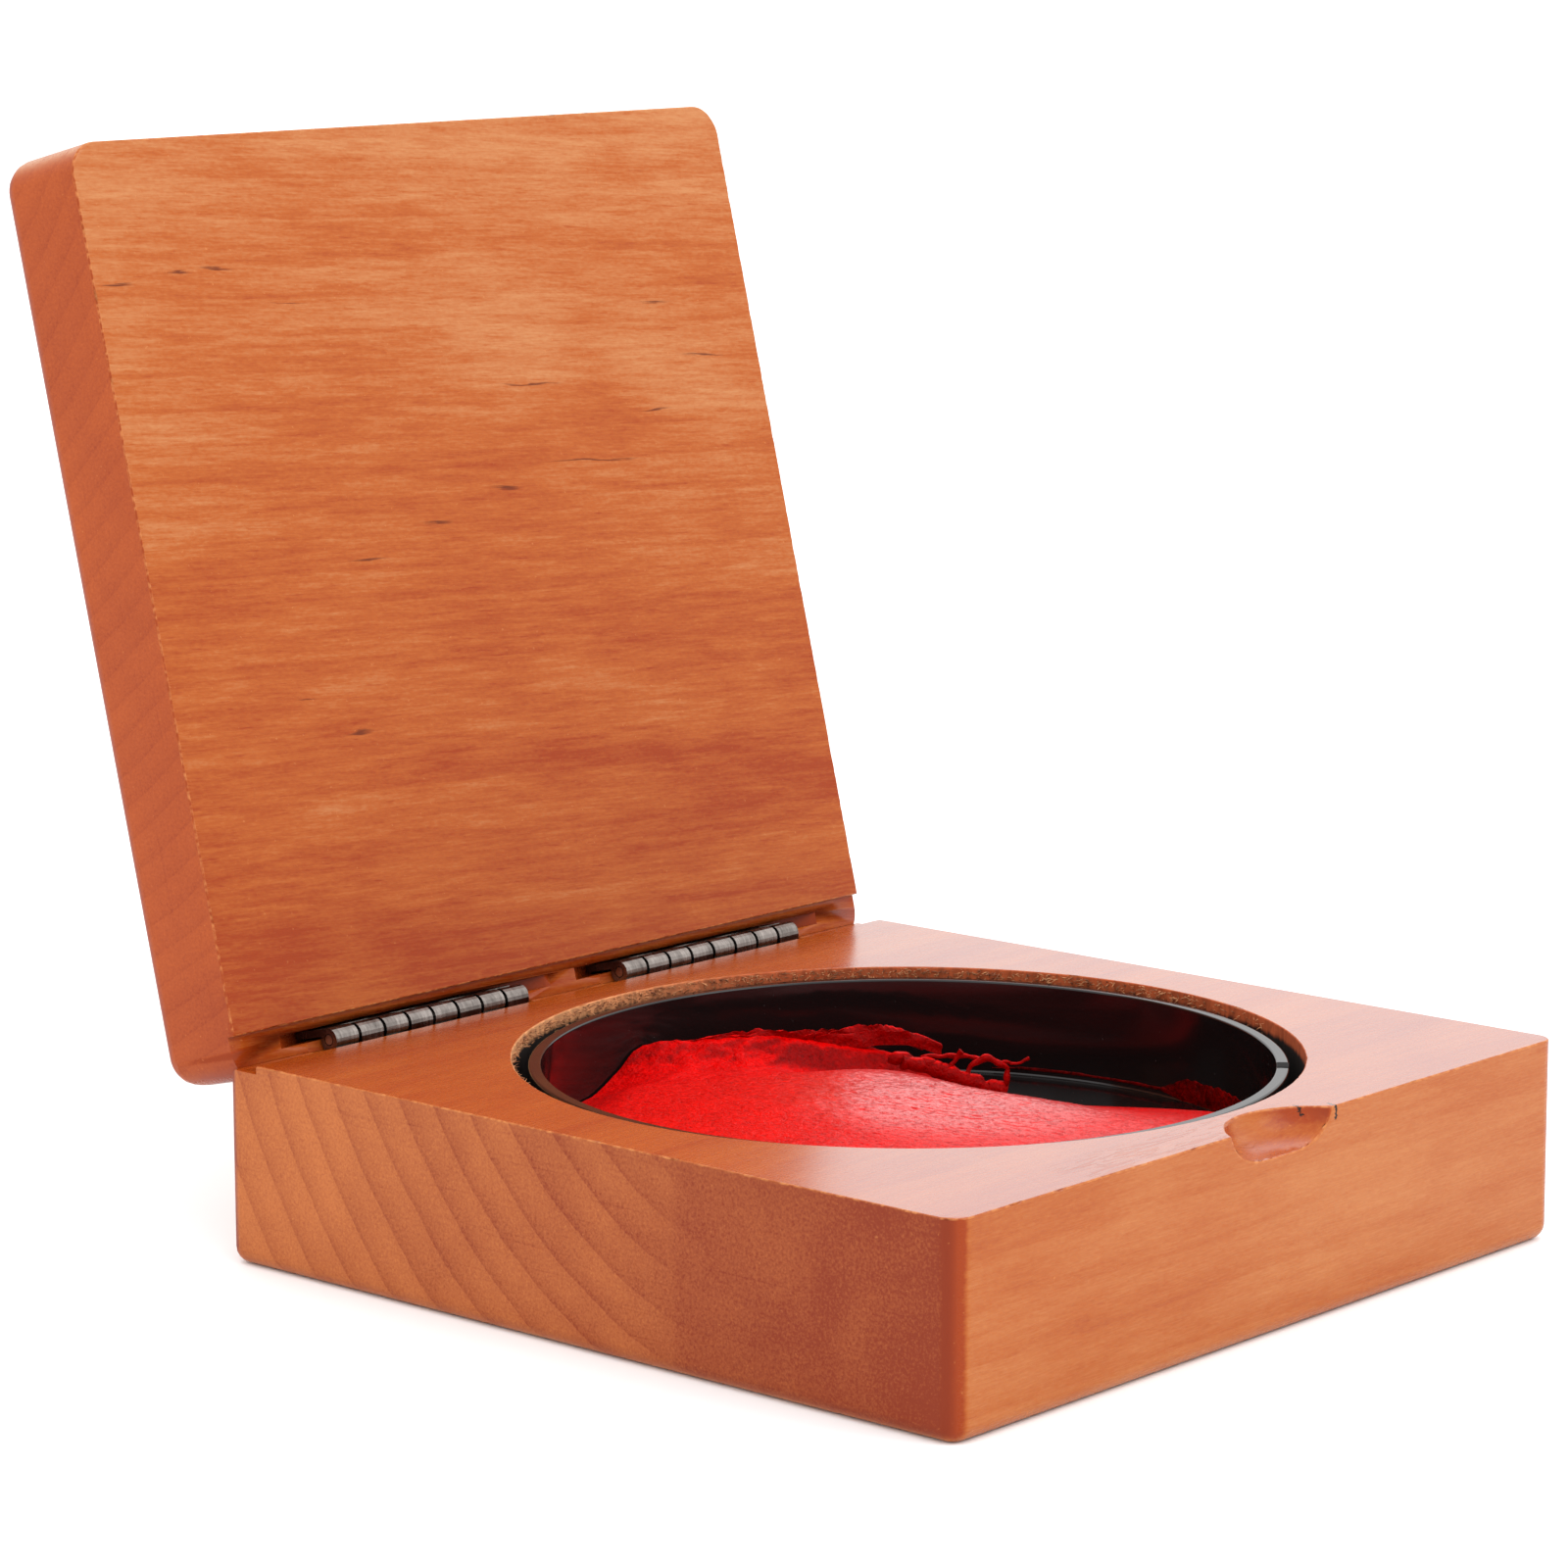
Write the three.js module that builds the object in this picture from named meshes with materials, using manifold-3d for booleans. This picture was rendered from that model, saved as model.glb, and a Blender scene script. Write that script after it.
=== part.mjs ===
// Ink pad for seals: a hinged wooden case that holds a round dish of red seal paste.
// Millimetres, +Z up. The origin is the centre of the underside, the finger notch faces -Y and
// the two hinges run along X at the back. The lid is drawn shut and turned open about the hinge axis.

import * as THREE from "three";
import { mergeVertices } from "three/addons/utils/BufferGeometryUtils.js";
import Module from "manifold-3d";

const wasm = await Module();
wasm.setup();

// ---------------------------------------------------------------------------
// Driving dimensions
// ---------------------------------------------------------------------------

// Wooden case
const caseWidth = 100; // along X, which is also the way the grain runs
const caseDepth = 100; // along Y
const baseHeight = 22;
const lidThickness = 12.2;
const closedGap = 0.3; // between the two mating faces when the lid is shut
const openAngle = 103.8; // degrees, the lid as it stands
const stopAngle = 106; // degrees, where the two back bevels would meet
const baseCornerRadius = 2.2; // seen from above
const lidCornerRadius = 3.6;
const baseEdgeRadius = 1.8; // round the underside
const lidEdgeRadius = 2.4; // round the outer face
const lidBackRadius = 4.2; // along the outer back edge, which swings down behind the base

// Step along the back of both mating faces, where the hinges lie
const stepWidth = 5;
const stepDepth = 0.9;

// Pocket for the dish
const pocketRadius = 41.8;
const pocketCentreY = -1.8;

// Finger notch in the front top edge
const notchWidth = 16.8;
const notchCentreX = 0.8; // a little off the middle of the front
const notchDrop = 3.5; // down the front face
const notchReach = 4.8; // back across the top face
const notchRadius = 4.5; // the round between its floor and its wall

// Dish
const dishWall = 1.4;
const dishFloor = 1.5;
const dishInnerDepth = 10.5;
const dishSideGap = 1.7; // all round, between the dish and its pocket
const dishRecess = 0.8; // the rim below the top face of the base
const dishRimRound = 0.4;
const dishFootRound = 1.2;
const dishInnerFillet = 1.2;

// Paste
const pasteClearance = 0.3; // to the wall of the dish
const pasteBodyHeight = 4.6; // the mass above the dish floor
const pasteMoundRise = 0.8; // the swell across the middle
const pasteRidgeRise = 1.9; // the wall of paste pushed up at the back
const pasteRidgeWidth = 4;
const pasteRidgeY = 38.2; // where the line of the ridge crosses the middle of the dish
const pasteRidgeSlope = 0.85; // how far that line comes forward for each millimetre to the right
const pasteMoundY = 23.8; // the same two for the mound's back edge
const pasteMoundSlope = 0.72;
const pasteValleyDrop = 0.5; // the hollow between the mound and the ridge
const pasteValleyEndDrop = 1.5; // more of it at the right
const pasteScraped = 2; // how much has been taken from the left of the back wall
const pasteBehindRidge = 0.62; // the share of the height missing behind the ridge
const pasteBite = 13; // how far the hollow on the right reaches in from the wall
const pasteBiteMiddle = 4; // degrees from +X
const pasteBiteSpan = 74; // degrees to either side of its middle
const pasteLipHeight = 0.8; // the thin edge of the paste in that hollow

// Hinges
const hingeOffset = 22.5; // each hinge's middle, either side of the case's middle
const hingeInset = 2.4; // the axis in from the back face
const knuckleCount = 8;
const knucklePitch = 3.7;
const knuckleGap = 0.45;
const barrelRadius = 1.25;
const pinRadius = 0.55;
const pinClearance = 0.1;
const leafThickness = 0.8;
const leafClearance = 0.25; // between a leaf's plate and the other leaf's knuckles
const leafCornerCut = 4; // along each end of a leaf's tip
const leafTipClearance = 0.3; // between a leaf's tip and the curved bottom of its kerf

// Saw kerfs that the leaves are pushed into, and the round relief for the barrel
const kerfLength = 41;
const kerfDepth = 8;
const kerfWidth = 1.4;
const reliefClearance = 0.3;
const reliefOverrun = 2; // past each end of the barrel

// ---------------------------------------------------------------------------
// Sizes that follow
// ---------------------------------------------------------------------------

const backY = caseDepth / 2;
const axisY = backY - hingeInset;
const axisZ = baseHeight + closedGap / 2;
const stepDrop = stepDepth + closedGap / 2; // from the axis plane to either step
const stepY = backY - stepWidth;
const barrelLength = knuckleCount * knucklePitch;
const dishRadius = pocketRadius - dishSideGap;
const dishInnerRadius = dishRadius - dishWall;
const dishFloorZ = baseHeight - dishRecess - dishInnerDepth;
const pocketFloorZ = dishFloorZ - dishFloor;
const dishHeight = dishFloor + dishInnerDepth;
const leafY = axisY - barrelRadius + leafThickness / 2;
const kerfRadius = (kerfLength ** 2 / 4 + kerfDepth ** 2) / (2 * kerfDepth);

const roundSegments = 96;
const barrelSegments = 20;
const edgeSegments = 5;
const overcut = 1; // how far a cutter runs past the face it cuts

// ---------------------------------------------------------------------------
// Materials
// ---------------------------------------------------------------------------

const finish = {
  baseWood: { color: 0xb9642f, roughness: 0.45, metalness: 0 },
  lidWood: { color: 0xc06f3c, roughness: 0.45, metalness: 0 },
  dish: { color: 0x120c0d, roughness: 0.12, metalness: 0 },
  paste: { color: 0xe01010, roughness: 0.4, metalness: 0 },
  hinge: { color: 0x6f6765, roughness: 0.35, metalness: 1 },
  pin: { color: 0x8f8a86, roughness: 0.3, metalness: 1 },
};

// ---------------------------------------------------------------------------
// Helpers
// ---------------------------------------------------------------------------

// A closed three.js geometry as a manifold-3d solid.
function solidOf(geometry) {
  geometry.deleteAttribute("normal");
  geometry.deleteAttribute("uv");
  const merged = mergeVertices(geometry, 1e-4);
  return new wasm.Manifold(
    new wasm.Mesh({
      numProp: 3,
      vertProperties: merged.attributes.position.array,
      triVerts: new Uint32Array(merged.index.array),
    }),
  );
}

// A manifold-3d solid as a three.js geometry with flat shading.
function geometryOf(solid) {
  const mesh = solid.getMesh();
  const indexed = new THREE.BufferGeometry();
  indexed.setAttribute("position", new THREE.BufferAttribute(mesh.vertProperties, mesh.numProp));
  indexed.setIndex(new THREE.BufferAttribute(mesh.triVerts, 1));
  const geometry = indexed.toNonIndexed();
  geometry.computeVertexNormals();
  return geometry;
}

// The first solid less every cutter.
function cut(solid, cutters) {
  return cutters.reduce((left, cutter) => left.subtract(cutter), solid);
}

function join(solids) {
  return solids.reduce((sum, solid) => sum.add(solid));
}

function boxSolid(width, depth, height, x, y, z) {
  return solidOf(new THREE.BoxGeometry(width, depth, height).translate(x, y, z));
}

// A cylinder along X.
function rodSolid(radius, length, segments, x, y, z) {
  const rod = new THREE.CylinderGeometry(radius, radius, length, segments);
  return solidOf(rod.rotateZ(Math.PI / 2).translate(x, y, z));
}

// A shape drawn with Y across and Z up, run along X about the middle of the case.
function alongX(shape, length) {
  const run = new THREE.ExtrudeGeometry(shape, { depth: length, bevelEnabled: false, curveSegments: 12 });
  run.translate(0, 0, -length / 2);
  // The drawing's axes (x, y, z) become Y, Z and X.
  run.applyMatrix4(new THREE.Matrix4().set(0, 0, 1, 0, 1, 0, 0, 0, 0, 1, 0, 0, 0, 0, 0, 1));
  return solidOf(run);
}

function roundedRectangle(width, depth, radius) {
  const x = width / 2 - radius;
  const y = depth / 2 - radius;
  const shape = new THREE.Shape();
  shape.absarc(x, y, radius, 0, Math.PI / 2);
  shape.absarc(-x, y, radius, Math.PI / 2, Math.PI);
  shape.absarc(-x, -y, radius, Math.PI, 1.5 * Math.PI);
  shape.absarc(x, -y, radius, 1.5 * Math.PI, 2 * Math.PI);
  return shape;
}

// A board whose top edge is rounded all round and whose underside is square. It stands on z = 0
// until the placement moves it.
function board(height, cornerRadius, edgeRadius, placement) {
  const block = new THREE.ExtrudeGeometry(roundedRectangle(caseWidth, caseDepth, cornerRadius), {
    depth: height - edgeRadius,
    bevelThickness: edgeRadius,
    bevelSize: edgeRadius,
    bevelOffset: -edgeRadius,
    bevelSegments: edgeSegments,
    curveSegments: edgeSegments,
  });
  const width = caseWidth + 2 * overcut;
  const depth = caseDepth + 2 * overcut;
  const under = new THREE.BoxGeometry(width, depth, 2 * edgeRadius).translate(0, 0, -edgeRadius);
  return solidOf(block.applyMatrix4(placement)).subtract(solidOf(under.applyMatrix4(placement)));
}

// Points round an arc, for a lathe profile; angles in degrees.
function arc(x, y, radius, from, to, steps) {
  return Array.from({ length: steps + 1 }, (_, i) => {
    const angle = THREE.MathUtils.degToRad(from + ((to - from) * i) / steps);
    return new THREE.Vector2(x + radius * Math.cos(angle), y + radius * Math.sin(angle));
  });
}

function meshOf(name, solid, look) {
  const mesh = new THREE.Mesh(geometryOf(solid), new THREE.MeshStandardMaterial(look));
  mesh.name = name;
  return mesh;
}

// ---------------------------------------------------------------------------
// Cutters that the base and the lid share
// ---------------------------------------------------------------------------

// The step along the back of both mating faces, and behind it the two bevels that stop the lid.
// Each bevel lies in a plane through the hinge axis, so at stopAngle they meet face to face.
function backStepCutter() {
  const slope = Math.tan(THREE.MathUtils.degToRad(stopAngle / 2));
  const bevelY = axisY + stepDrop / slope;
  const outY = backY + overcut;
  const outDrop = (outY - axisY) * slope;
  const outline = new THREE.Shape([
    new THREE.Vector2(stepY, axisZ - stepDrop),
    new THREE.Vector2(bevelY, axisZ - stepDrop),
    new THREE.Vector2(outY, axisZ - outDrop),
    new THREE.Vector2(outY, axisZ + outDrop),
    new THREE.Vector2(bevelY, axisZ + stepDrop),
    new THREE.Vector2(stepY, axisZ + stepDrop),
  ]);
  return alongX(outline, caseWidth + 2 * overcut);
}

// A kerf as a round saw leaves it, from the step into the wood. side is -1 in the base, 1 in the lid.
function kerfCutter(x, side) {
  const saw = new THREE.CylinderGeometry(kerfRadius, kerfRadius, kerfWidth, roundSegments);
  return solidOf(saw.translate(x, leafY, axisZ + side * (stepDrop + kerfDepth - kerfRadius)));
}

// The round hollow that clears the barrel.
function reliefCutter(x) {
  const length = barrelLength + 2 * reliefOverrun;
  return rodSolid(barrelRadius + reliefClearance, length, 2 * barrelSegments, x, axisY, axisZ);
}

const hinges = [
  { name: "left", x: -hingeOffset },
  { name: "right", x: hingeOffset },
];

function hingeSeats(side) {
  return hinges.flatMap(({ x }) => [kerfCutter(x, side), reliefCutter(x)]);
}

// ---------------------------------------------------------------------------
// Case
// ---------------------------------------------------------------------------

// The scoop for a fingertip, as an upright round-nosed cutter leaves it.
function notchCutter() {
  // Seen from above it is an arc, notchWidth across the front face and notchReach deep.
  const planRadius = (notchWidth ** 2 / 4 + notchReach ** 2) / (2 * notchReach);
  const rise = notchRadius - notchDrop;
  const floorRadius = planRadius - Math.sqrt(notchRadius ** 2 - rise ** 2);
  const profile = [
    new THREE.Vector2(0, -notchDrop),
    ...arc(floorRadius, rise, notchRadius, -90, 0, 10),
    new THREE.Vector2(0, rise),
  ];
  const scoop = new THREE.LatheGeometry(profile, roundSegments).rotateX(Math.PI / 2);
  return solidOf(scoop.translate(notchCentreX, notchReach - backY - planRadius, baseHeight));
}

function baseBlock() {
  // Turned over, so that the rounded edge goes round the underside.
  const turnedOver = new THREE.Matrix4().makeRotationX(Math.PI).setPosition(0, 0, baseHeight);
  const block = board(baseHeight, baseCornerRadius, baseEdgeRadius, turnedOver);
  const depth = baseHeight - pocketFloorZ + overcut;
  const pocket = new THREE.CylinderGeometry(pocketRadius, pocketRadius, depth, roundSegments);
  pocket.rotateX(Math.PI / 2).translate(0, pocketCentreY, pocketFloorZ + depth / 2);
  return cut(block, [solidOf(pocket), notchCutter(), backStepCutter(), ...hingeSeats(-1)]);
}

// What is taken off the lid's outer back edge to round it.
function lidBackCutter() {
  const top = axisZ + closedGap / 2 + lidThickness;
  const outline = new THREE.Shape();
  outline.moveTo(backY + overcut, top + overcut);
  outline.lineTo(backY - lidBackRadius, top + overcut);
  outline.absarc(backY - lidBackRadius, top - lidBackRadius, lidBackRadius, Math.PI / 2, 0, true);
  outline.lineTo(backY + overcut, top - lidBackRadius);
  return alongX(outline, caseWidth + 2 * overcut);
}

function lidBlock() {
  const shut = new THREE.Matrix4().makeTranslation(0, 0, axisZ + closedGap / 2);
  const block = board(lidThickness, lidCornerRadius, lidEdgeRadius, shut);
  return cut(block, [backStepCutter(), lidBackCutter(), ...hingeSeats(1)]);
}

// ---------------------------------------------------------------------------
// Dish and paste
// ---------------------------------------------------------------------------

// A turned profile, closed on the axis, stood on z = 0 in the middle of the pocket.
function turned(profile) {
  const lathe = new THREE.LatheGeometry(profile, roundSegments);
  return lathe.rotateX(Math.PI / 2).translate(0, pocketCentreY, 0);
}

function dish() {
  const rimRound = (x, from, to) => arc(x, dishHeight - dishRimRound, dishRimRound, from, to, 3);
  const filletX = dishInnerRadius - dishInnerFillet;
  const profile = [
    new THREE.Vector2(0, 0),
    ...arc(dishRadius - dishFootRound, dishFootRound, dishFootRound, -90, 0, 4),
    ...rimRound(dishRadius - dishRimRound, 0, 90),
    ...rimRound(dishInnerRadius + dishRimRound, 90, 180),
    ...arc(filletX, dishFloor + dishInnerFillet, dishInnerFillet, 0, -90, 4),
    new THREE.Vector2(0, dishFloor),
  ];
  return solidOf(turned(profile).translate(0, 0, pocketFloorZ));
}

// 1 in the middle of the hollow on the paste's right side, 0 outside its span.
function bite(angle) {
  const fromMiddle = THREE.MathUtils.radToDeg(angle) - pasteBiteMiddle;
  const turn = Math.abs(THREE.MathUtils.euclideanModulo(fromMiddle + 180, 360) - 180);
  return turn < pasteBiteSpan ? Math.cos((turn / pasteBiteSpan) * (Math.PI / 2)) ** 2 : 0;
}

// The paste's reach from the middle of the dish at an angle in radians from +X.
function pasteReach(angle) {
  return dishInnerRadius - pasteClearance - pasteBite * bite(angle);
}

// How far a place is behind a line that crosses the dish's middle at startY and comes forward by slope.
function behindLine(x, y, startY, slope) {
  return (y + slope * x - startY) / Math.hypot(1, slope);
}

// The height of the paste above the dish floor, at a share of its reach along an angle.
function pasteHeight(share, angle) {
  const { smoothstep } = THREE.MathUtils;
  const out = share * pasteReach(angle);
  const x = out * Math.cos(angle);
  const y = out * Math.sin(angle);
  const swell = pasteMoundRise * Math.exp(-((x - 2) ** 2) / 500 - (y - 8) ** 2 / 400);

  const pastRidge = behindLine(x, y, pasteRidgeY, pasteRidgeSlope);
  const standing = smoothstep(x, -12, 2) * (1 - smoothstep(x, 21, 27));
  const taller = 1 + 0.9 * smoothstep(x, 13, 20);
  const ridge = pasteRidgeRise * standing * taller * Math.exp(-((pastRidge / pasteRidgeWidth) ** 2));

  const pastMound = behindLine(x, y, pasteMoundY, pasteMoundSlope);
  const valleyDrop = pasteValleyDrop + pasteValleyEndDrop * smoothstep(x, 6, 18);
  const valley = valleyDrop * smoothstep(pastMound, -1.6, 1.2) * (1 - smoothstep(pastMound, 4, 8));
  const leftBack = smoothstep(out, 30, 38) * (1 - smoothstep(x, -10, 4)) * smoothstep(y, 0, 22);

  const top = pasteBodyHeight + swell + ridge - valley - pasteScraped * leftBack;
  const fall = bite(angle) * smoothstep(share, 0.4, 0.9);
  const behind = pasteBehindRidge * smoothstep(pastRidge, 1.5, 3.5) * smoothstep(x, 2, 8);
  return Math.max(pasteLipHeight, THREE.MathUtils.lerp(top, pasteLipHeight, fall) * (1 - behind));
}

// The lump of paste on the dish floor: rings of points from the middle out, then down the side.
function paste() {
  const rings = 16;
  const spokes = 64;
  const points = [0, pocketCentreY, dishFloorZ + pasteHeight(0, 0)];
  const addRing = (inset, share, heightAt) => {
    for (let i = 0; i < spokes; i++) {
      const angle = (2 * Math.PI * i) / spokes;
      const radius = share * pasteReach(angle) - inset;
      points.push(radius * Math.cos(angle));
      points.push(pocketCentreY + radius * Math.sin(angle));
      points.push(dishFloorZ + heightAt(angle));
    }
  };
  for (let ring = 1; ring <= rings; ring++) {
    addRing(0, ring / rings, (angle) => pasteHeight(ring / rings, angle));
  }
  const footTop = Math.min(dishInnerFillet, 0.6 * pasteLipHeight);
  addRing(0, 1, () => footTop);
  addRing(dishInnerFillet, 1, () => 0);
  points.push(0, pocketCentreY, dishFloorZ);

  const faces = [];
  const last = points.length / 3 - 1;
  const at = (ring, spoke) => 1 + (ring - 1) * spokes + (spoke % spokes);
  for (let i = 0; i < spokes; i++) {
    faces.push(0, at(1, i), at(1, i + 1));
    for (let ring = 1; ring < rings + 2; ring++) {
      faces.push(at(ring, i), at(ring + 1, i), at(ring + 1, i + 1));
      faces.push(at(ring, i), at(ring + 1, i + 1), at(ring, i + 1));
    }
    faces.push(at(rings + 2, i), last, at(rings + 2, i + 1));
  }
  const lump = new THREE.BufferGeometry();
  lump.setAttribute("position", new THREE.Float32BufferAttribute(points, 3));
  lump.setIndex(faces);
  return solidOf(lump);
}

// ---------------------------------------------------------------------------
// Hinges
// ---------------------------------------------------------------------------

// One leaf with its knuckles and tabs. side is -1 for the base's leaf, 1 for the lid's.
// Counted from -X, the lid's leaf has the first knuckle and every second one after it.
function leaf(x, side) {
  const plateStart = barrelRadius + leafClearance;
  const knuckleLength = knucklePitch - knuckleGap;
  const endX = barrelLength / 2 - knuckleGap / 2;
  const cutX = endX - leafCornerCut;
  // The kerf's bottom is an arc, so the tip's corners go as deep as the arc lets them.
  const depthAt = (reach) => {
    const arcDepth = Math.sqrt(kerfRadius ** 2 - reach ** 2) - (kerfRadius - kerfDepth);
    return stepDrop + arcDepth - leafTipClearance;
  };
  const outline = new THREE.Shape([
    new THREE.Vector2(-endX, side * plateStart),
    new THREE.Vector2(endX, side * plateStart),
    new THREE.Vector2(endX, side * depthAt(endX)),
    new THREE.Vector2(cutX, side * depthAt(cutX)),
    new THREE.Vector2(-cutX, side * depthAt(cutX)),
    new THREE.Vector2(-endX, side * depthAt(endX)),
  ]);
  const plate = new THREE.ExtrudeGeometry(outline, { depth: leafThickness, bevelEnabled: false });
  plate.rotateX(Math.PI / 2).translate(x, leafY + leafThickness / 2, axisZ);

  const first = side > 0 ? 0 : 1;
  const pieces = [solidOf(plate)];
  for (let i = first; i < knuckleCount; i += 2) {
    const knuckleX = x - barrelLength / 2 + (i + 0.5) * knucklePitch;
    const tabHeight = plateStart + overcut / 2;
    const tabZ = axisZ + (side * tabHeight) / 2;
    pieces.push(rodSolid(barrelRadius, knuckleLength, barrelSegments, knuckleX, axisY, axisZ));
    pieces.push(boxSolid(knuckleLength, leafThickness, tabHeight, knuckleX, leafY, tabZ));
  }
  const boreLength = barrelLength + 2 * overcut;
  const bore = rodSolid(pinRadius + pinClearance, boreLength, barrelSegments, x, axisY, axisZ);
  return cut(join(pieces), [bore]);
}

function pin(x) {
  return rodSolid(pinRadius, barrelLength - knuckleGap, barrelSegments, x, axisY, axisZ);
}

// ---------------------------------------------------------------------------
// Assembly
// ---------------------------------------------------------------------------

const base = new THREE.Group();
base.name = "base";
base.add(meshOf("base_block", baseBlock(), finish.baseWood));
base.add(meshOf("ink_dish", dish(), finish.dish));
base.add(meshOf("seal_paste", paste(), finish.paste));

const lid = new THREE.Group();
lid.name = "lid";
lid.add(meshOf("lid_block", lidBlock(), finish.lidWood));

for (const { name, x } of hinges) {
  base.add(meshOf(`hinge_${name}_base_leaf`, leaf(x, -1), finish.hinge));
  base.add(meshOf(`hinge_${name}_pin`, pin(x), finish.pin));
  lid.add(meshOf(`hinge_${name}_lid_leaf`, leaf(x, 1), finish.hinge));
}

// The lid's pieces are drawn shut, so each is moved to the axis before the group turns.
for (const piece of lid.children) {
  piece.position.set(0, -axisY, -axisZ);
}
lid.position.set(0, axisY, axisZ);
lid.rotation.x = -THREE.MathUtils.degToRad(openAngle);

const inkPad = new THREE.Group();
inkPad.name = "ink_pad";
inkPad.add(base, lid);

export default inkPad;
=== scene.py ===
"""Looks for the hinged wooden ink pad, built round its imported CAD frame.

Everything is in metres in the part's own frame: +Z up, the finger notch towards -Y and the hinges
along X at the back. Each sub-assembly is a class that builds and dresses its own pieces.
"""

from __future__ import annotations

import logging
import math
import random
from abc import ABC, abstractmethod
from dataclasses import dataclass, field
from enum import Enum
from typing import Callable, Mapping, Sequence, Union

import bmesh
import bpy
import numpy as np
from mathutils import Matrix, Vector, noise

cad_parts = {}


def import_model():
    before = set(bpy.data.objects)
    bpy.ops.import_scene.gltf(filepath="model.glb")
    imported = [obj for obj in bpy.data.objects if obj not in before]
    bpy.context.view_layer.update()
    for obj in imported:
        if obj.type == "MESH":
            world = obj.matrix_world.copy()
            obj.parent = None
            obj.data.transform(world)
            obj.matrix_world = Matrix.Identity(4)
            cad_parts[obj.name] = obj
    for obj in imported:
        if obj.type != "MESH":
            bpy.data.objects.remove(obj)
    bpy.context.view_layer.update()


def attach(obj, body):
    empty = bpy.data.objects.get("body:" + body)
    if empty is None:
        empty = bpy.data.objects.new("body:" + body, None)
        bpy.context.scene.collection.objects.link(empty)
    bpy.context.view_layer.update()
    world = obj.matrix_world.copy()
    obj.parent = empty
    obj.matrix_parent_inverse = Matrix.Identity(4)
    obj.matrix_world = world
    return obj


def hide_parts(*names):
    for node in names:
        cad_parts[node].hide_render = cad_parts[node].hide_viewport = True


LOG = logging.getLogger("ink_pad")

MM = 0.001

# Easing of the wooden arrises
WELD_M = 2e-6  # points closer than this are one
FLAT_DEG = 0.4  # faces that turn less than this are one
SHARP_DEG = 32  # edges that turn more than this are eased
SHORT_MM = 0.7  # the longest piece of an eased edge
SHADE_DEG = 26  # the greatest turn that is shaded smooth
RUB_MM = 0.10  # how deep an arris is rubbed
CHIP_MM = 0.22  # how deep its dents are
TOUCH_MM = 0.02  # how close counts as on a face

Rgb = tuple[float, float, float]
Value = Union["Signal", float]


# ---------------- Shader maths ----------------


class Signal:
    """A node's output socket with arithmetic on it."""

    def __init__(self, shader: Shader, socket: bpy.types.NodeSocket) -> None:
        """Wraps an output socket of a shader's node tree."""
        self.shader = shader
        self.socket = socket

    def __add__(self, other: Value) -> Signal:
        """The sum of two values."""
        return self.shader.math("ADD", self, other)

    def __radd__(self, other: float) -> Signal:
        """The sum of a number and a value."""
        return self.shader.math("ADD", other, self)

    def __sub__(self, other: Value) -> Signal:
        """The difference of two values."""
        return self.shader.math("SUBTRACT", self, other)

    def __rsub__(self, other: float) -> Signal:
        """A number less a value."""
        return self.shader.math("SUBTRACT", other, self)

    def __mul__(self, other: Value) -> Signal:
        """The product of two values."""
        return self.shader.math("MULTIPLY", self, other)

    def __rmul__(self, other: float) -> Signal:
        """The product of a number and a value."""
        return self.shader.math("MULTIPLY", other, self)

    def __truediv__(self, other: Value) -> Signal:
        """The quotient of two values."""
        return self.shader.math("DIVIDE", self, other)

    def __abs__(self) -> Signal:
        """The size of a value without its sign."""
        return self.shader.math("ABSOLUTE", self)

    def root(self) -> Signal:
        """The square root."""
        return self.shader.math("SQRT", self)

    def fract(self) -> Signal:
        """What is left past the last whole number."""
        return self.shader.math("FRACT", self)

    def step(self, low: float, high: float) -> Signal:
        """A smooth rise from 0 at low to 1 at high.

        Args:
            low: Where the rise starts.
            high: Where the rise ends; below low for a fall.

        Returns:
            The eased value.
        """
        settings = {"interpolation_type": "SMOOTHSTEP", "clamp": True}
        reverse = high < low
        inputs = {"Value": self, "From Min": min(low, high), "From Max": max(low, high)}
        inputs["To Min"] = 1.0 if reverse else 0.0
        inputs["To Max"] = 0.0 if reverse else 1.0
        return self.shader.node("ShaderNodeMapRange", settings, inputs)


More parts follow.
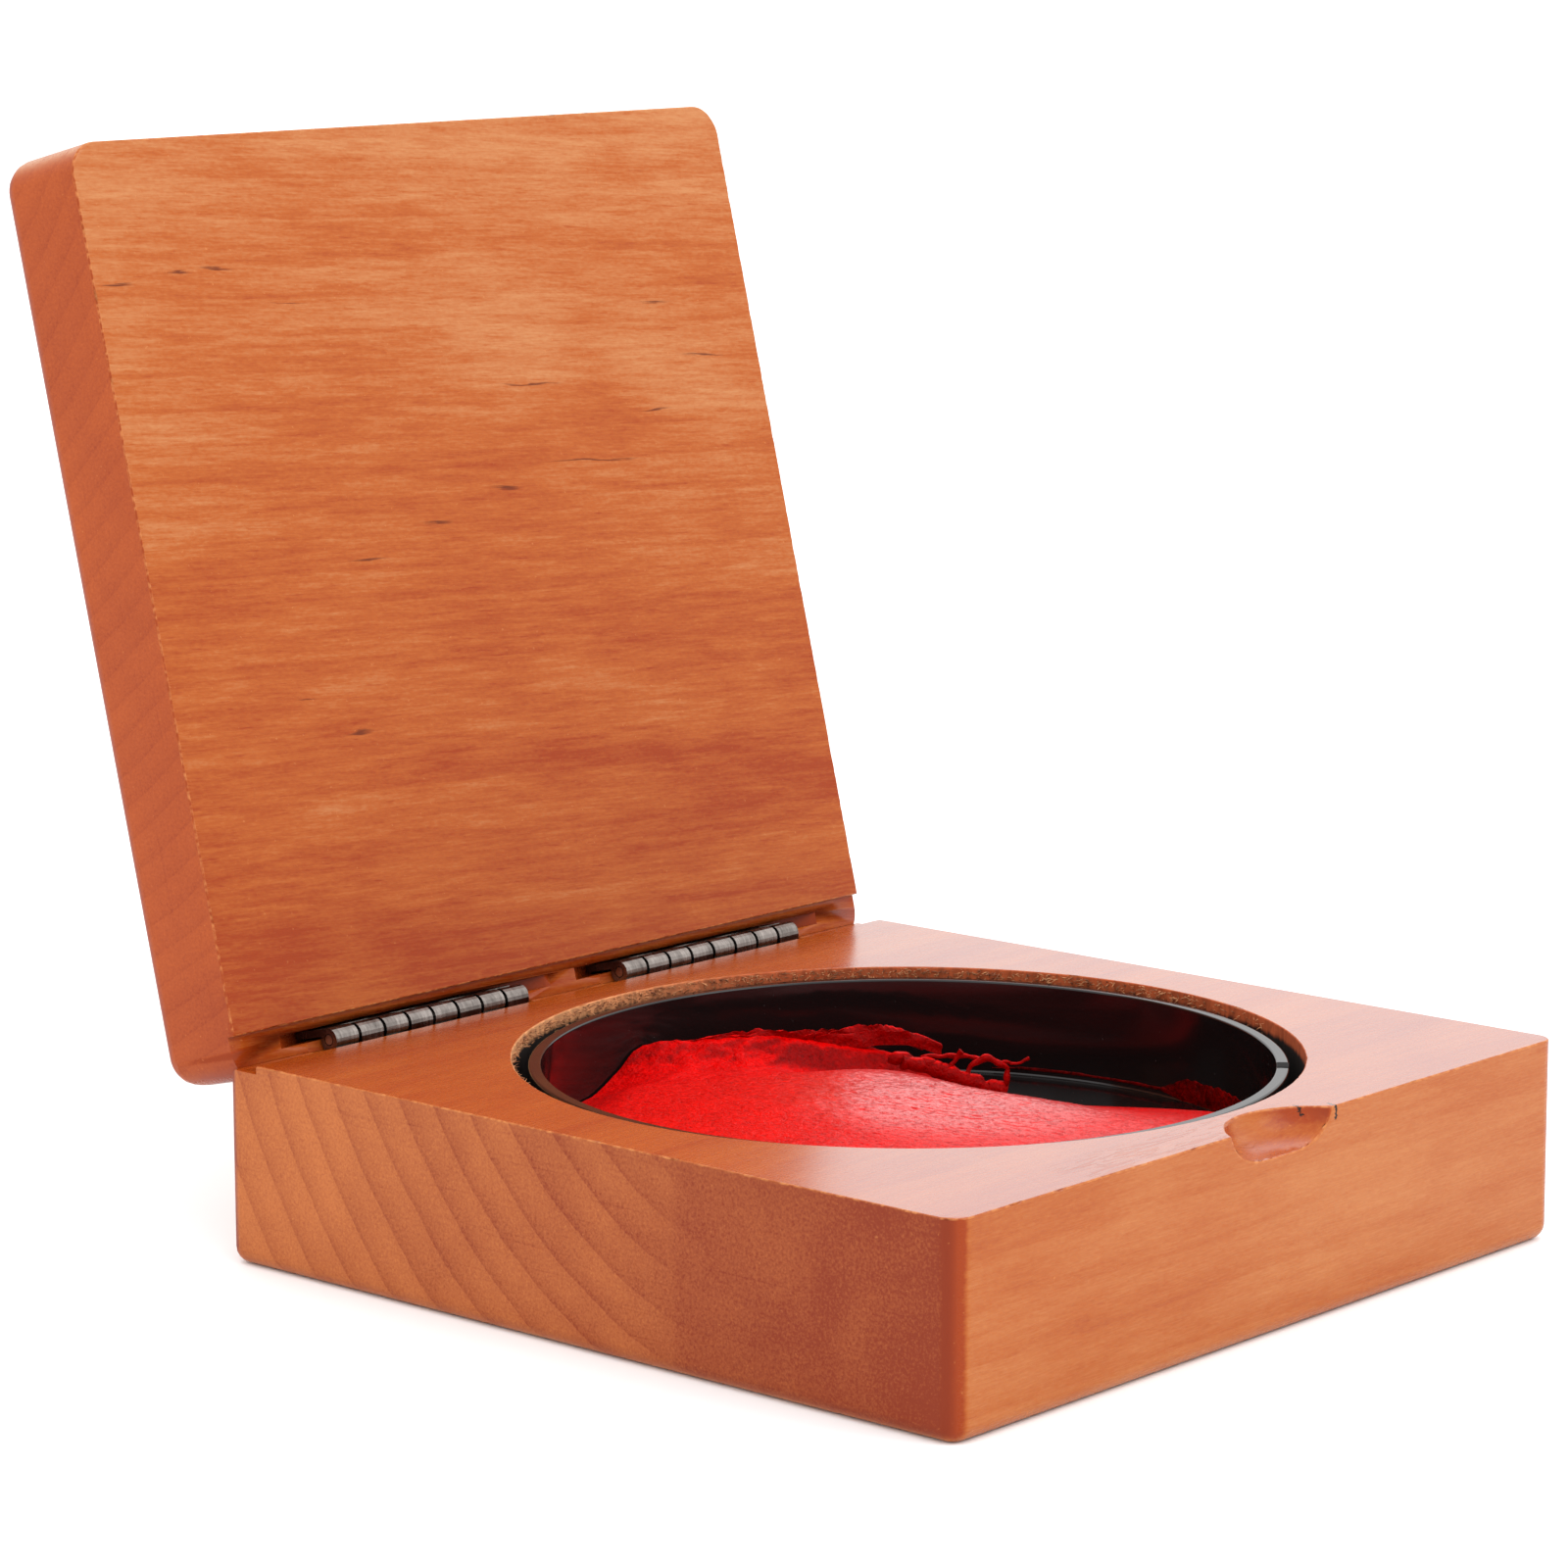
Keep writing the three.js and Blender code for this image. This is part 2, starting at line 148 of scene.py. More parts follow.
class Shader:
    """The node tree of a material or a world, with one method for each kind of step."""

    def __init__(self, owner: bpy.types.Material | bpy.types.World) -> None:
        """Starts an empty tree.

        Args:
            owner: The material or world that holds it.
        """
        owner.use_nodes = True
        self.owner = owner
        self.tree = owner.node_tree
        self.tree.nodes.clear()

    def node(
        self,
        kind: str,
        settings: Mapping[str, object] | None = None,
        inputs: Mapping[str | int, object] | None = None,
        output: str | int = 0,
    ) -> Signal:
        """Adds one node.

        Args:
            kind: The node's type.
            settings: Its settings, set before its sockets; "stops" holds a ramp's stops.
            inputs: Values or signals by socket name or number.
            output: The socket to hand back.

        Returns:
            The chosen output.
        """
        made = self.tree.nodes.new(kind)
        for key, setting in (settings or {}).items():
            if key == "stops":
                self._set_stops(made.color_ramp, setting)
            else:
                setattr(made, key, setting)
        for key, value in (inputs or {}).items():
            self._feed(made.inputs[key], value)
        return Signal(self, made.outputs[output])

    def _feed(self, socket: bpy.types.NodeSocket, value: object) -> None:
        """Links a signal to an input, or sets its value.

        Args:
            socket: The input.
            value: A signal, a number or a colour.
        """
        if isinstance(value, Signal):
            self.tree.links.new(value.socket, socket)
        elif isinstance(value, tuple) and socket.type == "RGBA":
            socket.default_value = (*value, 1.0)
        else:
            socket.default_value = value

    @staticmethod
    def _set_stops(ramp: bpy.types.ColorRamp, stops: Sequence[tuple[float, Rgb]]) -> None:
        """Gives a colour ramp its stops.

        Args:
            ramp: The ramp.
            stops: Places and colours, in order of place.
        """
        while len(ramp.elements) < len(stops):
            ramp.elements.new(1.0)
        for element, (place, colour) in zip(ramp.elements, stops):
            element.position = place
            element.color = (*colour, 1.0)

    def math(self, operation: str, a: Value, b: Value | None = None) -> Signal:
        """Adds a Math node.

        Args:
            operation: The operation's name.
            a: The first value.
            b: The second value, where there is one.

        Returns:
            The result.
        """
        inputs = {0: a} if b is None else {0: a, 1: b}
        return self.node("ShaderNodeMath", {"operation": operation}, inputs)

    def blend(self, a: object, b: object, factor: Value, mode: str = "MIX") -> Signal:
        """Mixes two colours.

        Args:
            a: The colour at factor 0.
            b: The colour at factor 1.
            factor: How much of b shows.
            mode: The way they mix.

        Returns:
            The mixed colour.
        """
        settings = {"data_type": "RGBA", "blend_type": mode, "clamp_factor": True}
        return self.node("ShaderNodeMix", settings, {0: factor, 6: a, 7: b}, 2)

    def ramp(self, value: Signal, stops: Sequence[tuple[float, Rgb]]) -> Signal:
        """Looks a value up in a ramp of colours.

        Args:
            value: The value, 0 to 1.
            stops: Places and colours.

        Returns:
            The colour.
        """
        return self.node("ShaderNodeValToRGB", {"stops": stops}, {0: value})

    def place(self) -> Signal:
        """The point on the piece in its own frame, in millimetres."""
        return self.scaled(self.node("ShaderNodeTexCoord", output="Object"), 1.0 / MM)

    def scaled(self, vector: Signal, factors: Rgb | float) -> Signal:
        """Multiplies a vector by one factor, or by one for each axis."""
        each = factors if isinstance(factors, tuple) else (factors,) * 3
        return self.node("ShaderNodeVectorMath", {"operation": "MULTIPLY"}, {0: vector, 1: each})

    def parts(self, vector: Signal) -> tuple[Signal, Signal, Signal]:
        """The three parts of a vector."""
        outputs = self.node("ShaderNodeSeparateXYZ", inputs={0: vector}).socket.node.outputs
        return tuple(Signal(self, outputs[i]) for i in range(3))

    def noise(self, vector: Signal, factors: Rgb | float, detail: float = 2.0, twist: float = 0.0) -> Signal:
        """Noise, stretched where the factors differ.

        Args:
            vector: Where to read it.
            factors: Cycles per millimetre, one for all or one for each axis.
            detail: Octaves.
            twist: Distortion.

        Returns:
            A value about 0.5.
        """
        settings = {"noise_dimensions": "3D"}
        inputs = {"Vector": self.scaled(vector, factors), "Scale": 1.0, "Detail": detail, "Distortion": twist}
        return self.node("ShaderNodeTexNoise", settings, inputs, "Fac")

    def bump(self, height: Signal, depth_mm: float, strength: float = 1.0) -> Signal:
        """A normal tilted by a height.

        Args:
            height: The height, 0 to 1.
            depth_mm: What a height of 1 is in millimetres.
            strength: Share of the effect.

        Returns:
            The normal.
        """
        inputs = {"Strength": strength, "Distance": depth_mm * MM, "Height": height}
        return self.node("ShaderNodeBump", {}, inputs)

    def surface(self, **inputs: object) -> bpy.types.Material:
        """Ends the tree in one Principled shader.

        Args:
            **inputs: Its sockets, with _ for each space.

        Returns:
            The finished material.
        """
        named = {key.replace("_", " "): value for key, value in inputs.items()}
        self.end(self.node("ShaderNodeBsdfPrincipled", {}, named), "ShaderNodeOutputMaterial")
        return self.owner

    def end(self, shader: Signal, kind: str) -> None:
        """Links a shader to a new output node of the given type."""
        made = self.tree.nodes.new(kind)
        self.tree.links.new(shader.socket, made.inputs["Surface"])


# ---------------- Finishes ----------------


class Finish(ABC):
    """A finish that makes one material."""

    @abstractmethod
    def material(self) -> bpy.types.Material:
        """Makes the material."""


@dataclass(frozen=True)
class Mark:
    """One short dark mark in the grain, seen on a broad face.

    Args:
        x_mm: Its middle along the grain.
        y_mm: Its middle across the grain.
        length_mm: Its length.
        width_mm: Its width at the middle.
    """

    x_mm: float
    y_mm: float
    length_mm: float
    width_mm: float


@dataclass(frozen=True)
class Crack:
    """One short upright crack at the front top edge.

    Args:
        x_mm: Its place along the edge.
        width_mm: Its width.
        foot_z_mm: The height of its lower end.
        back_y_mm: How far back it runs.
    """

    x_mm: float
    width_mm: float
    foot_z_mm: float
    back_y_mm: float


@dataclass(frozen=True)
class StainedWood(Finish):
    """Close-grained wood, stained reddish brown under a satin lacquer.

    The grain runs along X. The growth rings are round a pith that runs nearly along X, and show as
    arcs on the end grain and as streaks on the faces.
    """

    name: str
    pith_y_mm: float
    pith_z_mm: float
    ring_mm: float
    drift: float
    deep: Rgb
    warm: Rgb
    pale: Rgb
    end_deep: Rgb
    end_pale: Rgb
    worn: Rgb = (0.56, 0.22, 0.07)
    cut_pale: Rgb = (0.66, 0.30, 0.13)
    cut_deep: Rgb = (0.40, 0.085, 0.028)
    # Near black, painted as shade deep in the pocket
    pocket_painted_shade: Rgb = (0.010, 0.006, 0.005)
    crack_dark: Rgb = (0.012, 0.004, 0.002)
    satin: float = 0.27
    ior: float = 1.28
    coat_roughness: float = 0.20
    coat_ior: float = 1.5
    relief_mm: float = 0.03
    relief_share: float = 0.45
    # How far the rounded upright corners are darkened, as painted shade
    corner_painted_shade: float = 0.75
    turn_deg: float = 0.0
    turn_centre_mm: Rgb = (0.0, 0.0, 0.0)
    ring_on_face: float = 0.10
    ring_on_end: float = 0.34
    ring_end_from_mm: float = -200.0
    face_fade: float = 0.0
    end_fade: float = 0.0
    top_shift: float = 0.0
    face_level: float = 0.0
    end_level: float = 0.52
    end_turn: float = 0.0
    figure: float = 1.0
    grain: float = 0.5
    top_tint: Rgb = (1.0, 1.0, 1.0)
    top_coat: float = 0.0
    slant: float = 0.0
    marks: tuple[Mark, ...] = ()
    pocket_mm: Rgb | None = None
    sag_mm: Rgb | None = None
    cracks: tuple[Crack, ...] = ()

    def _cracks(self, x: Signal, y: Signal, z: Signal, wander: Signal) -> Signal:
        """Where the open cracks are, 0 to 1.

        Args:
            x: Place along the grain.
            y: Place across it.
            z: Height.
            wander: Noise that makes their outlines uneven.

        Returns:
            The mask.
        """
        total: Value = 0.0
        for crack in self.cracks:
            side = abs(x - crack.x_mm + wander * 0.9)
            open_here = side.step(crack.width_mm * 0.62, crack.width_mm * 0.38)
            down = z.step(crack.foot_z_mm, crack.foot_z_mm + 0.25)
            total = open_here * down * y.step(crack.back_y_mm, crack.back_y_mm - 0.3) + total
        return total

    def _marks(self, x: Signal, y: Signal, wander: Signal) -> Signal:
        """Where the dark marks in the grain are, 0 to 1.

        Args:
            x: Place along the grain.
            y: Place across it.
            wander: Noise that makes their outlines uneven.

        Returns:
            The mask.
        """
        total: Value = 0.0
        for mark in self.marks:
            along = (x - mark.x_mm) * (2.0 / mark.length_mm)
            line = y - (mark.y_mm - mark.x_mm * self.slant) + wander * 1.6
            across = line * (2.4 / mark.width_mm)
            total = (abs(along) + across * across).step(1.1, 0.1) + total
        return total

    def material(self) -> bpy.types.Material:
        """Makes the wood's material.

        Returns:
            The material.
        """
        s = Shader(bpy.data.materials.new(self.name))
        point = s.place()
        if self.turn_deg:
            settings = {"rotation_type": "X_AXIS"}
            inputs = {"Vector": point, "Center": self.turn_centre_mm, "Angle": math.radians(self.turn_deg)}
            point = s.node("ShaderNodeVectorRotate", settings, inputs)
        x, y, z = s.parts(point)
        if self.slant:
            y = y - x * self.slant
            point = s.node("ShaderNodeCombineXYZ", inputs={0: x, 1: y, 2: z})
        face_x, face_y, face_z = s.parts(s.node("ShaderNodeTexCoord", output="Normal"))
        end = abs(face_x).step(0.55, 0.92)
        # The rounded upright corners, where the normal leans between X and Y; both tones below are darkened
        # there as painted shade
        corner = (abs(face_x) * abs(face_y)).step(0.12, 0.46)

        # Growth rings
        sway = s.noise(point, (0.012, 0.03, 0.03), 2.0)
        ripple = s.noise(point, (0.05, 0.20, 0.20), 3.0)
        out_y = y - self.pith_y_mm + x * self.drift
        out_z = z - self.pith_z_mm
        ring = ((out_y * out_y + out_z * out_z).root() + sway * 3.0 + ripple * 0.55) / self.ring_mm
        phase = ring.fract()
        late = phase.step(0.30, 0.95) * 0.6 + phase.step(0.80, 0.97) * 0.4
        late = late * phase.step(1.0, 0.97)
        year = s.noise(s.node("ShaderNodeCombineXYZ", inputs={0: ring}), (0.83, 1.0, 1.0), 1.0)

        # Fibres and pores, drawn out along the grain
        broad = s.noise(point, (0.020, 0.12, 0.12), 3.0, 0.3)
        fibre = s.noise(point, (0.11, 1.3, 1.3), 4.0, 0.3)
        hair = s.noise(point, (0.42, 4.6, 4.6), 3.0)
        mottle = s.noise(point, (0.045, 0.075, 0.075), 4.0, 0.6)
        pore = s.noise(point, (0.30, 3.4, 3.4), 1.5).step(0.64, 0.74)
        curl = s.noise(point, (0.5, 2.6, 2.6), 3.0, 1.6)
        saw = s.noise(point, (0.4, 0.05, 2.6), 3.0, 0.1)
        speck = s.noise(point, 2.1, 2.0).step(0.70, 0.77)
        grit = s.noise(point, (1.3, 3.0, 3.0), 3.0, 0.4)

        face_tone = (
            0.5
            + self.face_level
            + (broad - 0.5) * (1.1 * self.figure)
            + (fibre - 0.5) * (0.80 * self.figure)
            + (hair - 0.5) * (0.45 * self.figure)
            + (mottle - 0.5) * 0.55
            + (grit - 0.5) * self.grain
            - late * self.ring_on_face
            - pore * (0.20 * self.figure)
            + (year - 0.5) * 0.25
            + y * self.face_fade
            - face_z.step(0.6, 0.9) * self.top_shift
            - corner * self.corner_painted_shade
        )
        ringed = late * y.step(self.ring_end_from_mm - 9.0, self.ring_end_from_mm + 9.0)
        end_tone = (
            self.end_level
            - ringed * self.ring_on_end
            + (mottle - 0.5) * 0.7
            + (curl - 0.5) * 0.6
            + (grit - 0.5) * (self.grain * 1.6)
            + (hair - 0.5) * 0.4
            - saw.step(0.58, 0.72) * 0.12
            - y.step(self.ring_end_from_mm - 1.5, self.ring_end_from_mm - 3.5) * self.end_turn
            + y * self.end_fade
            - corner * self.corner_painted_shade
        )
        face_colour = s.ramp(face_tone, [(0.0, self.deep), (0.5, self.warm), (1.0, self.pale)])
        end_colour = s.ramp(end_tone, [(0.0, self.end_deep), (1.0, self.end_pale)])
        tinted = s.blend(face_colour, self.top_tint, 1.0, "MULTIPLY")
        colour = s.blend(s.blend(face_colour, tinted, face_z.step(0.75, 0.97)), end_colour, end)
        if self.marks:
            mark = self._marks(x, y, fibre - 0.5) * (1.0 - end) * hair.step(0.15, 0.42)
            colour = s.blend(colour, tuple(channel * 0.36 for channel in self.deep), mark * 0.85)
        colour = s.blend(colour, self.worn, speck * 0.35)

        # Arrises where the stain has rubbed through
        wear = s.node("ShaderNodeAttribute", {"attribute_name": "wear"}, output="Fac")
        rub = s.noise(point, 1.3, 3.0).step(0.42, 0.66)
        colour = s.blend(colour, self.worn, wear * (rub * 0.50 + 0.03))

        height = hair * 0.35 + fibre * 0.5 - pore * 0.4 + end * (curl * 0.5 - saw * 0.3)
        rough = self.satin + (hair - 0.5) * 0.10 + end * 0.18 + wear * 0.12 + speck * 0.2

        # Lacquer that sagged by the notch, the raw pocket wall with painted shade deep down, and cracks
        bare: Value = 0.0
        if self.sag_mm is not None:
            middle, half, edge = self.sag_mm
            band = (x - middle) * (1.0 / half)
            sag = s.noise(point, (0.16, 0.85, 0.3), 2.0, 1.6).step(0.52, 0.60)
            sag = sag * (band * band).step(1.0, 0.5) * y.step(edge + 7.5, edge + 4.5) * face_z.step(0.6, 0.9)
            height = height + sag * 9.0
            rough = rough + sag * 0.15
        if self.pocket_mm is not None:
            centre_x, centre_y, radius = self.pocket_mm
            across = x - centre_x
            along = y - centre_y
            bare = (across * across + along * along).root().step(radius + 0.14, radius + 0.04)
            torn = s.noise(point, (0.9, 0.9, 0.35), 4.0, 0.8)
            cut = s.blend(self.cut_pale, self.cut_deep, across.step(-14.0, 22.0))
            cut = s.blend(s.blend(cut, (0.0, 0.0, 0.0), 0.35), cut, torn.step(0.36, 0.62))
            # Below a band at the top the pocket wall is painted near black as shade; lit marks the band that
            # keeps the cut wood's colour
            lit = (z + (torn - 0.5) * 0.8).step(20.3, 20.95)
            colour = s.blend(colour, s.blend(self.pocket_painted_shade, cut, lit), bare)
            rough = rough + bare * 0.5
            height = height + bare * s.noise(point, (1.6, 1.6, 0.6), 3.0) * 3.0
        if self.cracks:
            crack = self._cracks(x, y, z, curl - 0.5)
            colour = s.blend(colour, self.crack_dark, crack)
            height = height - crack * 6.0
        coat: dict[str, object] = {}
        if self.top_coat:
            film = face_z.step(0.75, 0.97) * (1.0 - bare) * self.top_coat
            coat = {"Coat_Weight": film, "Coat_Roughness": self.coat_roughness, "Coat_IOR": self.coat_ior}
        normal = s.bump(height, self.relief_mm, self.relief_share)
        return s.surface(Base_Color=colour, Roughness=rough, IOR=self.ior, Normal=normal, **coat)


@dataclass(frozen=True)
class GlossBlack(Finish):
    """Polished black moulded plastic."""

    name: str = "dish_black_plastic"
    black: Rgb = (0.006, 0.004, 0.004)
    dusty: Rgb = (0.040, 0.032, 0.032)
    gloss: float = 0.07
    ior: float = 1.40

    def material(self) -> bpy.types.Material:
        """Makes the plastic's material.

        Returns:
            The material.
        """
        s = Shader(bpy.data.materials.new(self.name))
        point = s.place()
        swirl = s.noise(point, 0.06, 2.0)
        dust = s.noise(point, 2.4, 2.0).step(0.72, 0.80)
        colour = s.blend(self.black, self.dusty, dust * 0.5)
        rough = self.gloss + swirl * 0.07 + dust * 0.2
        return s.surface(Base_Color=colour, Roughness=rough, IOR=self.ior, Normal=s.bump(swirl, 0.02, 0.4))


@dataclass(frozen=True)
class SealRed(Finish):
    """Oily vermilion paste full of fine fibres."""

    name: str = "seal_paste_red"
    deep: Rgb = (0.36, 0.0, 0.0)
    warm: Rgb = (0.60, 0.0004, 0.0004)
    pale: Rgb = (0.76, 0.003, 0.002)
    # Multiplier that darkens faces not turned upward, as painted shade
    steep_painted_shade: Rgb = (0.38, 0.1, 0.1)
    sheen: float = 1.0
    sheen_mm: Rgb = (8.0, -2.0, 17.0)
    ior: float = 1.12
    oil_roughness: float = 0.24
    oil_ior: float = 1.8
    relief_mm: float = 0.26

    def material(self) -> bpy.types.Material:
        """Makes the paste's material.

        Returns:
            The material.
        """
        s = Shader(bpy.data.materials.new(self.name))
        point = s.place()
        clump = s.noise(point, 0.22, 3.0, 0.8)
        strand = s.noise(point, (1.5, 1.0, 1.2), 4.0, 2.6)
        fuzz = s.noise(point, 3.0, 3.0, 1.2)
        speck = s.noise(point, (1.9, 1.5, 1.9), 2.0, 0.6)
        # Faces not turned upward, such as the ridge's front, are multiplied darker as painted shade
        upward = s.parts(s.node("ShaderNodeTexCoord", output="Normal"))[2].step(0.70, 0.97)
        tone = 0.44 + (clump - 0.5) * 0.6 + (strand - 0.5) * 1.0 + (fuzz - 0.5) * 0.6 + (speck - 0.5) * 1.3
        colour = s.ramp(tone, [(0.0, self.deep), (0.5, self.warm), (1.0, self.pale)])
        colour = s.blend(s.blend(colour, self.steep_painted_shade, 1.0, "MULTIPLY"), colour, upward)
        height = strand * 0.7 + fuzz * 0.35 + speck * 0.7 + clump * 0.5
        rough = 0.34 + (fuzz - 0.5) * 0.4 + (strand - 0.5) * 0.3
        edge_on = s.node("ShaderNodeLayerWeight", inputs={"Blend": 0.5}, output="Facing").step(0.58, 0.80)
        x, y, _ = s.parts(point)
        from_x = (x - self.sheen_mm[0]) / self.sheen_mm[2]
        from_y = (y - self.sheen_mm[1]) / self.sheen_mm[2]
        pool = (from_x * from_x + from_y * from_y).step(1.5, 0.0) * 0.78 + x.step(-18.0, 4.0) * 0.22 + 0.06
        broken = (strand * 0.5 + fuzz * 0.3 + speck * 0.7).step(0.54, 0.82)
        oil = edge_on * pool * (broken * 0.9 + 0.1) * self.sheen
        return s.surface(
            Base_Color=colour,
            Roughness=rough,
            IOR=self.ior,
            Normal=s.bump(height, self.relief_mm, 0.9),
            Coat_Weight=oil,
            Coat_Roughness=self.oil_roughness,
            Coat_IOR=self.oil_ior,
        )


@dataclass(frozen=True)
class DarkNickel(Finish):
    """Steel with a dark antique nickel plating, lightly brushed round the barrel."""

    name: str
    dark: Rgb
    bright: Rgb
    roughness: float = 0.34

    def material(self) -> bpy.types.Material:
        """Makes the metal's material.

        Returns:
            The material.
        """
        s = Shader(bpy.data.materials.new(self.name))
        point = s.place()
        brush = s.noise(point, (3.4, 0.5, 0.5), 3.0)
        cloud = s.noise(point, 0.35, 3.0, 0.5)
        wear = s.node("ShaderNodeAttribute", {"attribute_name": "wear"}, output="Fac")
        tone = 0.45 + (brush - 0.5) * 0.7 + (cloud - 0.5) * 0.9 + wear * 0.6
        colour = s.ramp(tone, [(0.0, self.dark), (1.0, self.bright)])
        rough = self.roughness + (brush - 0.5) * 0.2 + (cloud - 0.5) * 0.2
        return s.surface(Base_Color=colour, Metallic=1.0, Roughness=rough, Normal=s.bump(brush, 0.012, 0.6))


@dataclass(frozen=True)
class PaleFloor(Finish):
    """A plain pale floor."""

    name: str = "floor_white"
    colour: Rgb = (0.90, 0.90, 0.90)
    roughness: float = 0.9
    shine: float = 0.1

    def material(self) -> bpy.types.Material:
        """Makes the floor's material."""
        s = Shader(bpy.data.materials.new(self.name))
        return s.surface(Base_Color=self.colour, Roughness=self.roughness, Specular_IOR_Level=self.shine)


# ---------------- Mesh helpers ----------------


def link(name: str, mesh: bpy.types.Mesh) -> bpy.types.Object:
    """Puts a mesh in the scene under a name.

    Args:
        name: The piece's name.
        mesh: Its mesh.

    Returns:
        The new object.
    """
    mesh.name = name
    piece = bpy.data.objects.new(name, mesh)
    bpy.context.scene.collection.objects.link(piece)
    return piece


def mesh_from(points: np.ndarray, faces: Sequence[Sequence[int]]) -> bpy.types.Mesh:
    """Makes a mesh.

    Args:
        points: Its points in metres.
        faces: Point numbers of each face.

    Returns:
        The mesh.
    """
    mesh = bpy.data.meshes.new("piece")
    mesh.from_pydata([tuple(map(float, p)) for p in points], [], [tuple(f) for f in faces])
    mesh.update()
    return mesh


def dress(piece: bpy.types.Object, finish: bpy.types.Material, body: str) -> None:
    """Gives a piece its material and hangs it on a body.

    Args:
        piece: The piece.
        finish: Its material.
        body: The body it rides on.
    """
    piece.data.materials.clear()
    piece.data.materials.append(finish)
    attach(piece, body)
    LOG.info("%s: %d faces on %s", piece.name, len(piece.data.polygons), body)


def smooth(mesh: bpy.types.Mesh, angle_deg: float) -> None:
    """Shades a mesh smooth, with sharp edges past an angle."""
    mesh.shade_smooth()
    mesh.set_sharp_from_angle(angle=math.radians(angle_deg))


def weighted(piece: bpy.types.Object) -> None:
    """Keeps big flat faces flat beside their rounded edges."""
    modifier = piece.modifiers.new("flat_faces", "WEIGHTED_NORMAL")
    modifier.keep_sharp = True


def split_edges(edges: Sequence[bmesh.types.BMEdge], longest: float) -> list[bmesh.types.BMEdge]:
    """Splits edges into short equal lengths.

    Args:
        edges: The edges.
        longest: The greatest length left.

    Returns:
        Every short edge.
    """
    short: list[bmesh.types.BMEdge] = []
    for edge in edges:
        count = max(1, math.ceil(edge.calc_length() / longest))
        start = edge.verts[0]
        for left in range(count, 1, -1):
            edge, middle = bmesh.utils.edge_split(edge, start, 1.0 / left)
            if start in edge.verts:
                short.append(edge)
                edge = next(e for e in middle.link_edges if e is not edge)
            else:
                short.append(next(e for e in middle.link_edges if e is not edge))
            start = middle
        short.append(edge)
    return short


def frame_copy(
    node: str, name: str, edge_test: Callable[[Vector], bool], round_mm: float
) -> bpy.types.Object:
    """Copies a CAD node into a finer piece whose sharp edges are eased.

    Args:
        node: The CAD node.
        name: The new piece's name.
        edge_test: Says for a point of an edge whether that edge is eased.
        round_mm: How far each edge is eased.

    Returns:
        The new piece, with a "wear" attribute of 1 on the eased edges.
    """
    mesh = bpy.data.objects[node].data.copy()
    work = bmesh.new()
    work.from_mesh(mesh)
    bmesh.ops.remove_doubles(work, verts=work.verts, dist=WELD_M)
    bmesh.ops.dissolve_limit(
        work, angle_limit=math.radians(FLAT_DEG), verts=work.verts, edges=work.edges, delimit=set()
    )
    sharp = [
        edge
        for edge in work.edges
        if len(edge.link_faces) == 2
        and edge.calc_face_angle(0.0) > math.radians(SHARP_DEG)
        and all(edge_test(vert.co) for vert in edge.verts)
    ]
    made = bmesh.ops.bevel(
        work,
        geom=split_edges(sharp, SHORT_MM * MM),
        offset=round_mm * MM,
        segments=3,
        profile=0.5,
        affect="EDGES",
        clamp_overlap=False,
        loop_slide=True,
    )
    work.normal_update()
    strip = set(made["faces"])
    for vert in work.verts:
        if vert.link_faces and all(face in strip for face in vert.link_faces):
            place = vert.co / MM
            rub = max(0.0, noise.noise(place * 0.9)) * RUB_MM
            chip = float(smoothstep(0.42, 0.60, noise.noise(place * 0.55 + Vector((7, 7, 7))))) * CHIP_MM
            vert.co -= vert.normal * (rub + chip) * MM
    layer = work.loops.layers.float.new("wear")
    for face in made["faces"]:
        for corner in face.loops:
            corner[layer] = 1.0
    bmesh.ops.triangulate(work, faces=[f for f in work.faces if len(f.verts) > 4])
    work.normal_update()
    work.to_mesh(mesh)
    work.free()
    smooth(mesh, SHADE_DEG)
    piece = link(name, mesh)
    piece.data.materials.clear()
    weighted(piece)
    return piece


def tube(points: np.ndarray, radii: np.ndarray, sides: int) -> tuple[np.ndarray, list[tuple[int, ...]]]:
    """Sweeps a round section along a path and closes both ends.

    Args:
        points: The path.
        radii: The section's radius at each point.
        sides: Sides of the section.

    Returns:
        Points and faces.
    """
    ahead = np.gradient(points, axis=0)
    ahead /= np.linalg.norm(ahead, axis=1)[:, None]
    side = np.cross(ahead, np.array([0.13, 0.21, 1.0]))
    side /= np.linalg.norm(side, axis=1)[:, None]
    up = np.cross(side, ahead)
    turn = np.linspace(0.0, 2 * math.pi, sides, endpoint=False)
    ring = np.cos(turn)[None, :, None] * side[:, None, :] + np.sin(turn)[None, :, None] * up[:, None, :]
    grid = points[:, None, :] + ring * radii[:, None, None]
    count = len(points)
    faces: list[tuple[int, ...]] = []
    for i in range(count - 1):
        for j in range(sides):
            k = (j + 1) % sides
            faces.append((i * sides + j, i * sides + k, (i + 1) * sides + k, (i + 1) * sides + j))
    faces.append(tuple(reversed(range(sides))))
    faces.append(tuple((count - 1) * sides + j for j in range(sides)))
    return grid.reshape(-1, 3), faces


def gather(pieces: Sequence[tuple[np.ndarray, Sequence[Sequence[int]]]]) -> bpy.types.Mesh:
    """Joins many small shapes into one mesh.

    Args:
        pieces: Points in metres and faces of each shape.

    Returns:
        The mesh.
    """
    points: list[np.ndarray] = []
    faces: list[tuple[int, ...]] = []
    start = 0
    for part_points, part_faces in pieces:
        points.append(part_points)
        faces.extend(tuple(start + i for i in face) for face in part_faces)
        start += len(part_points)
    return mesh_from(np.concatenate(points), faces)


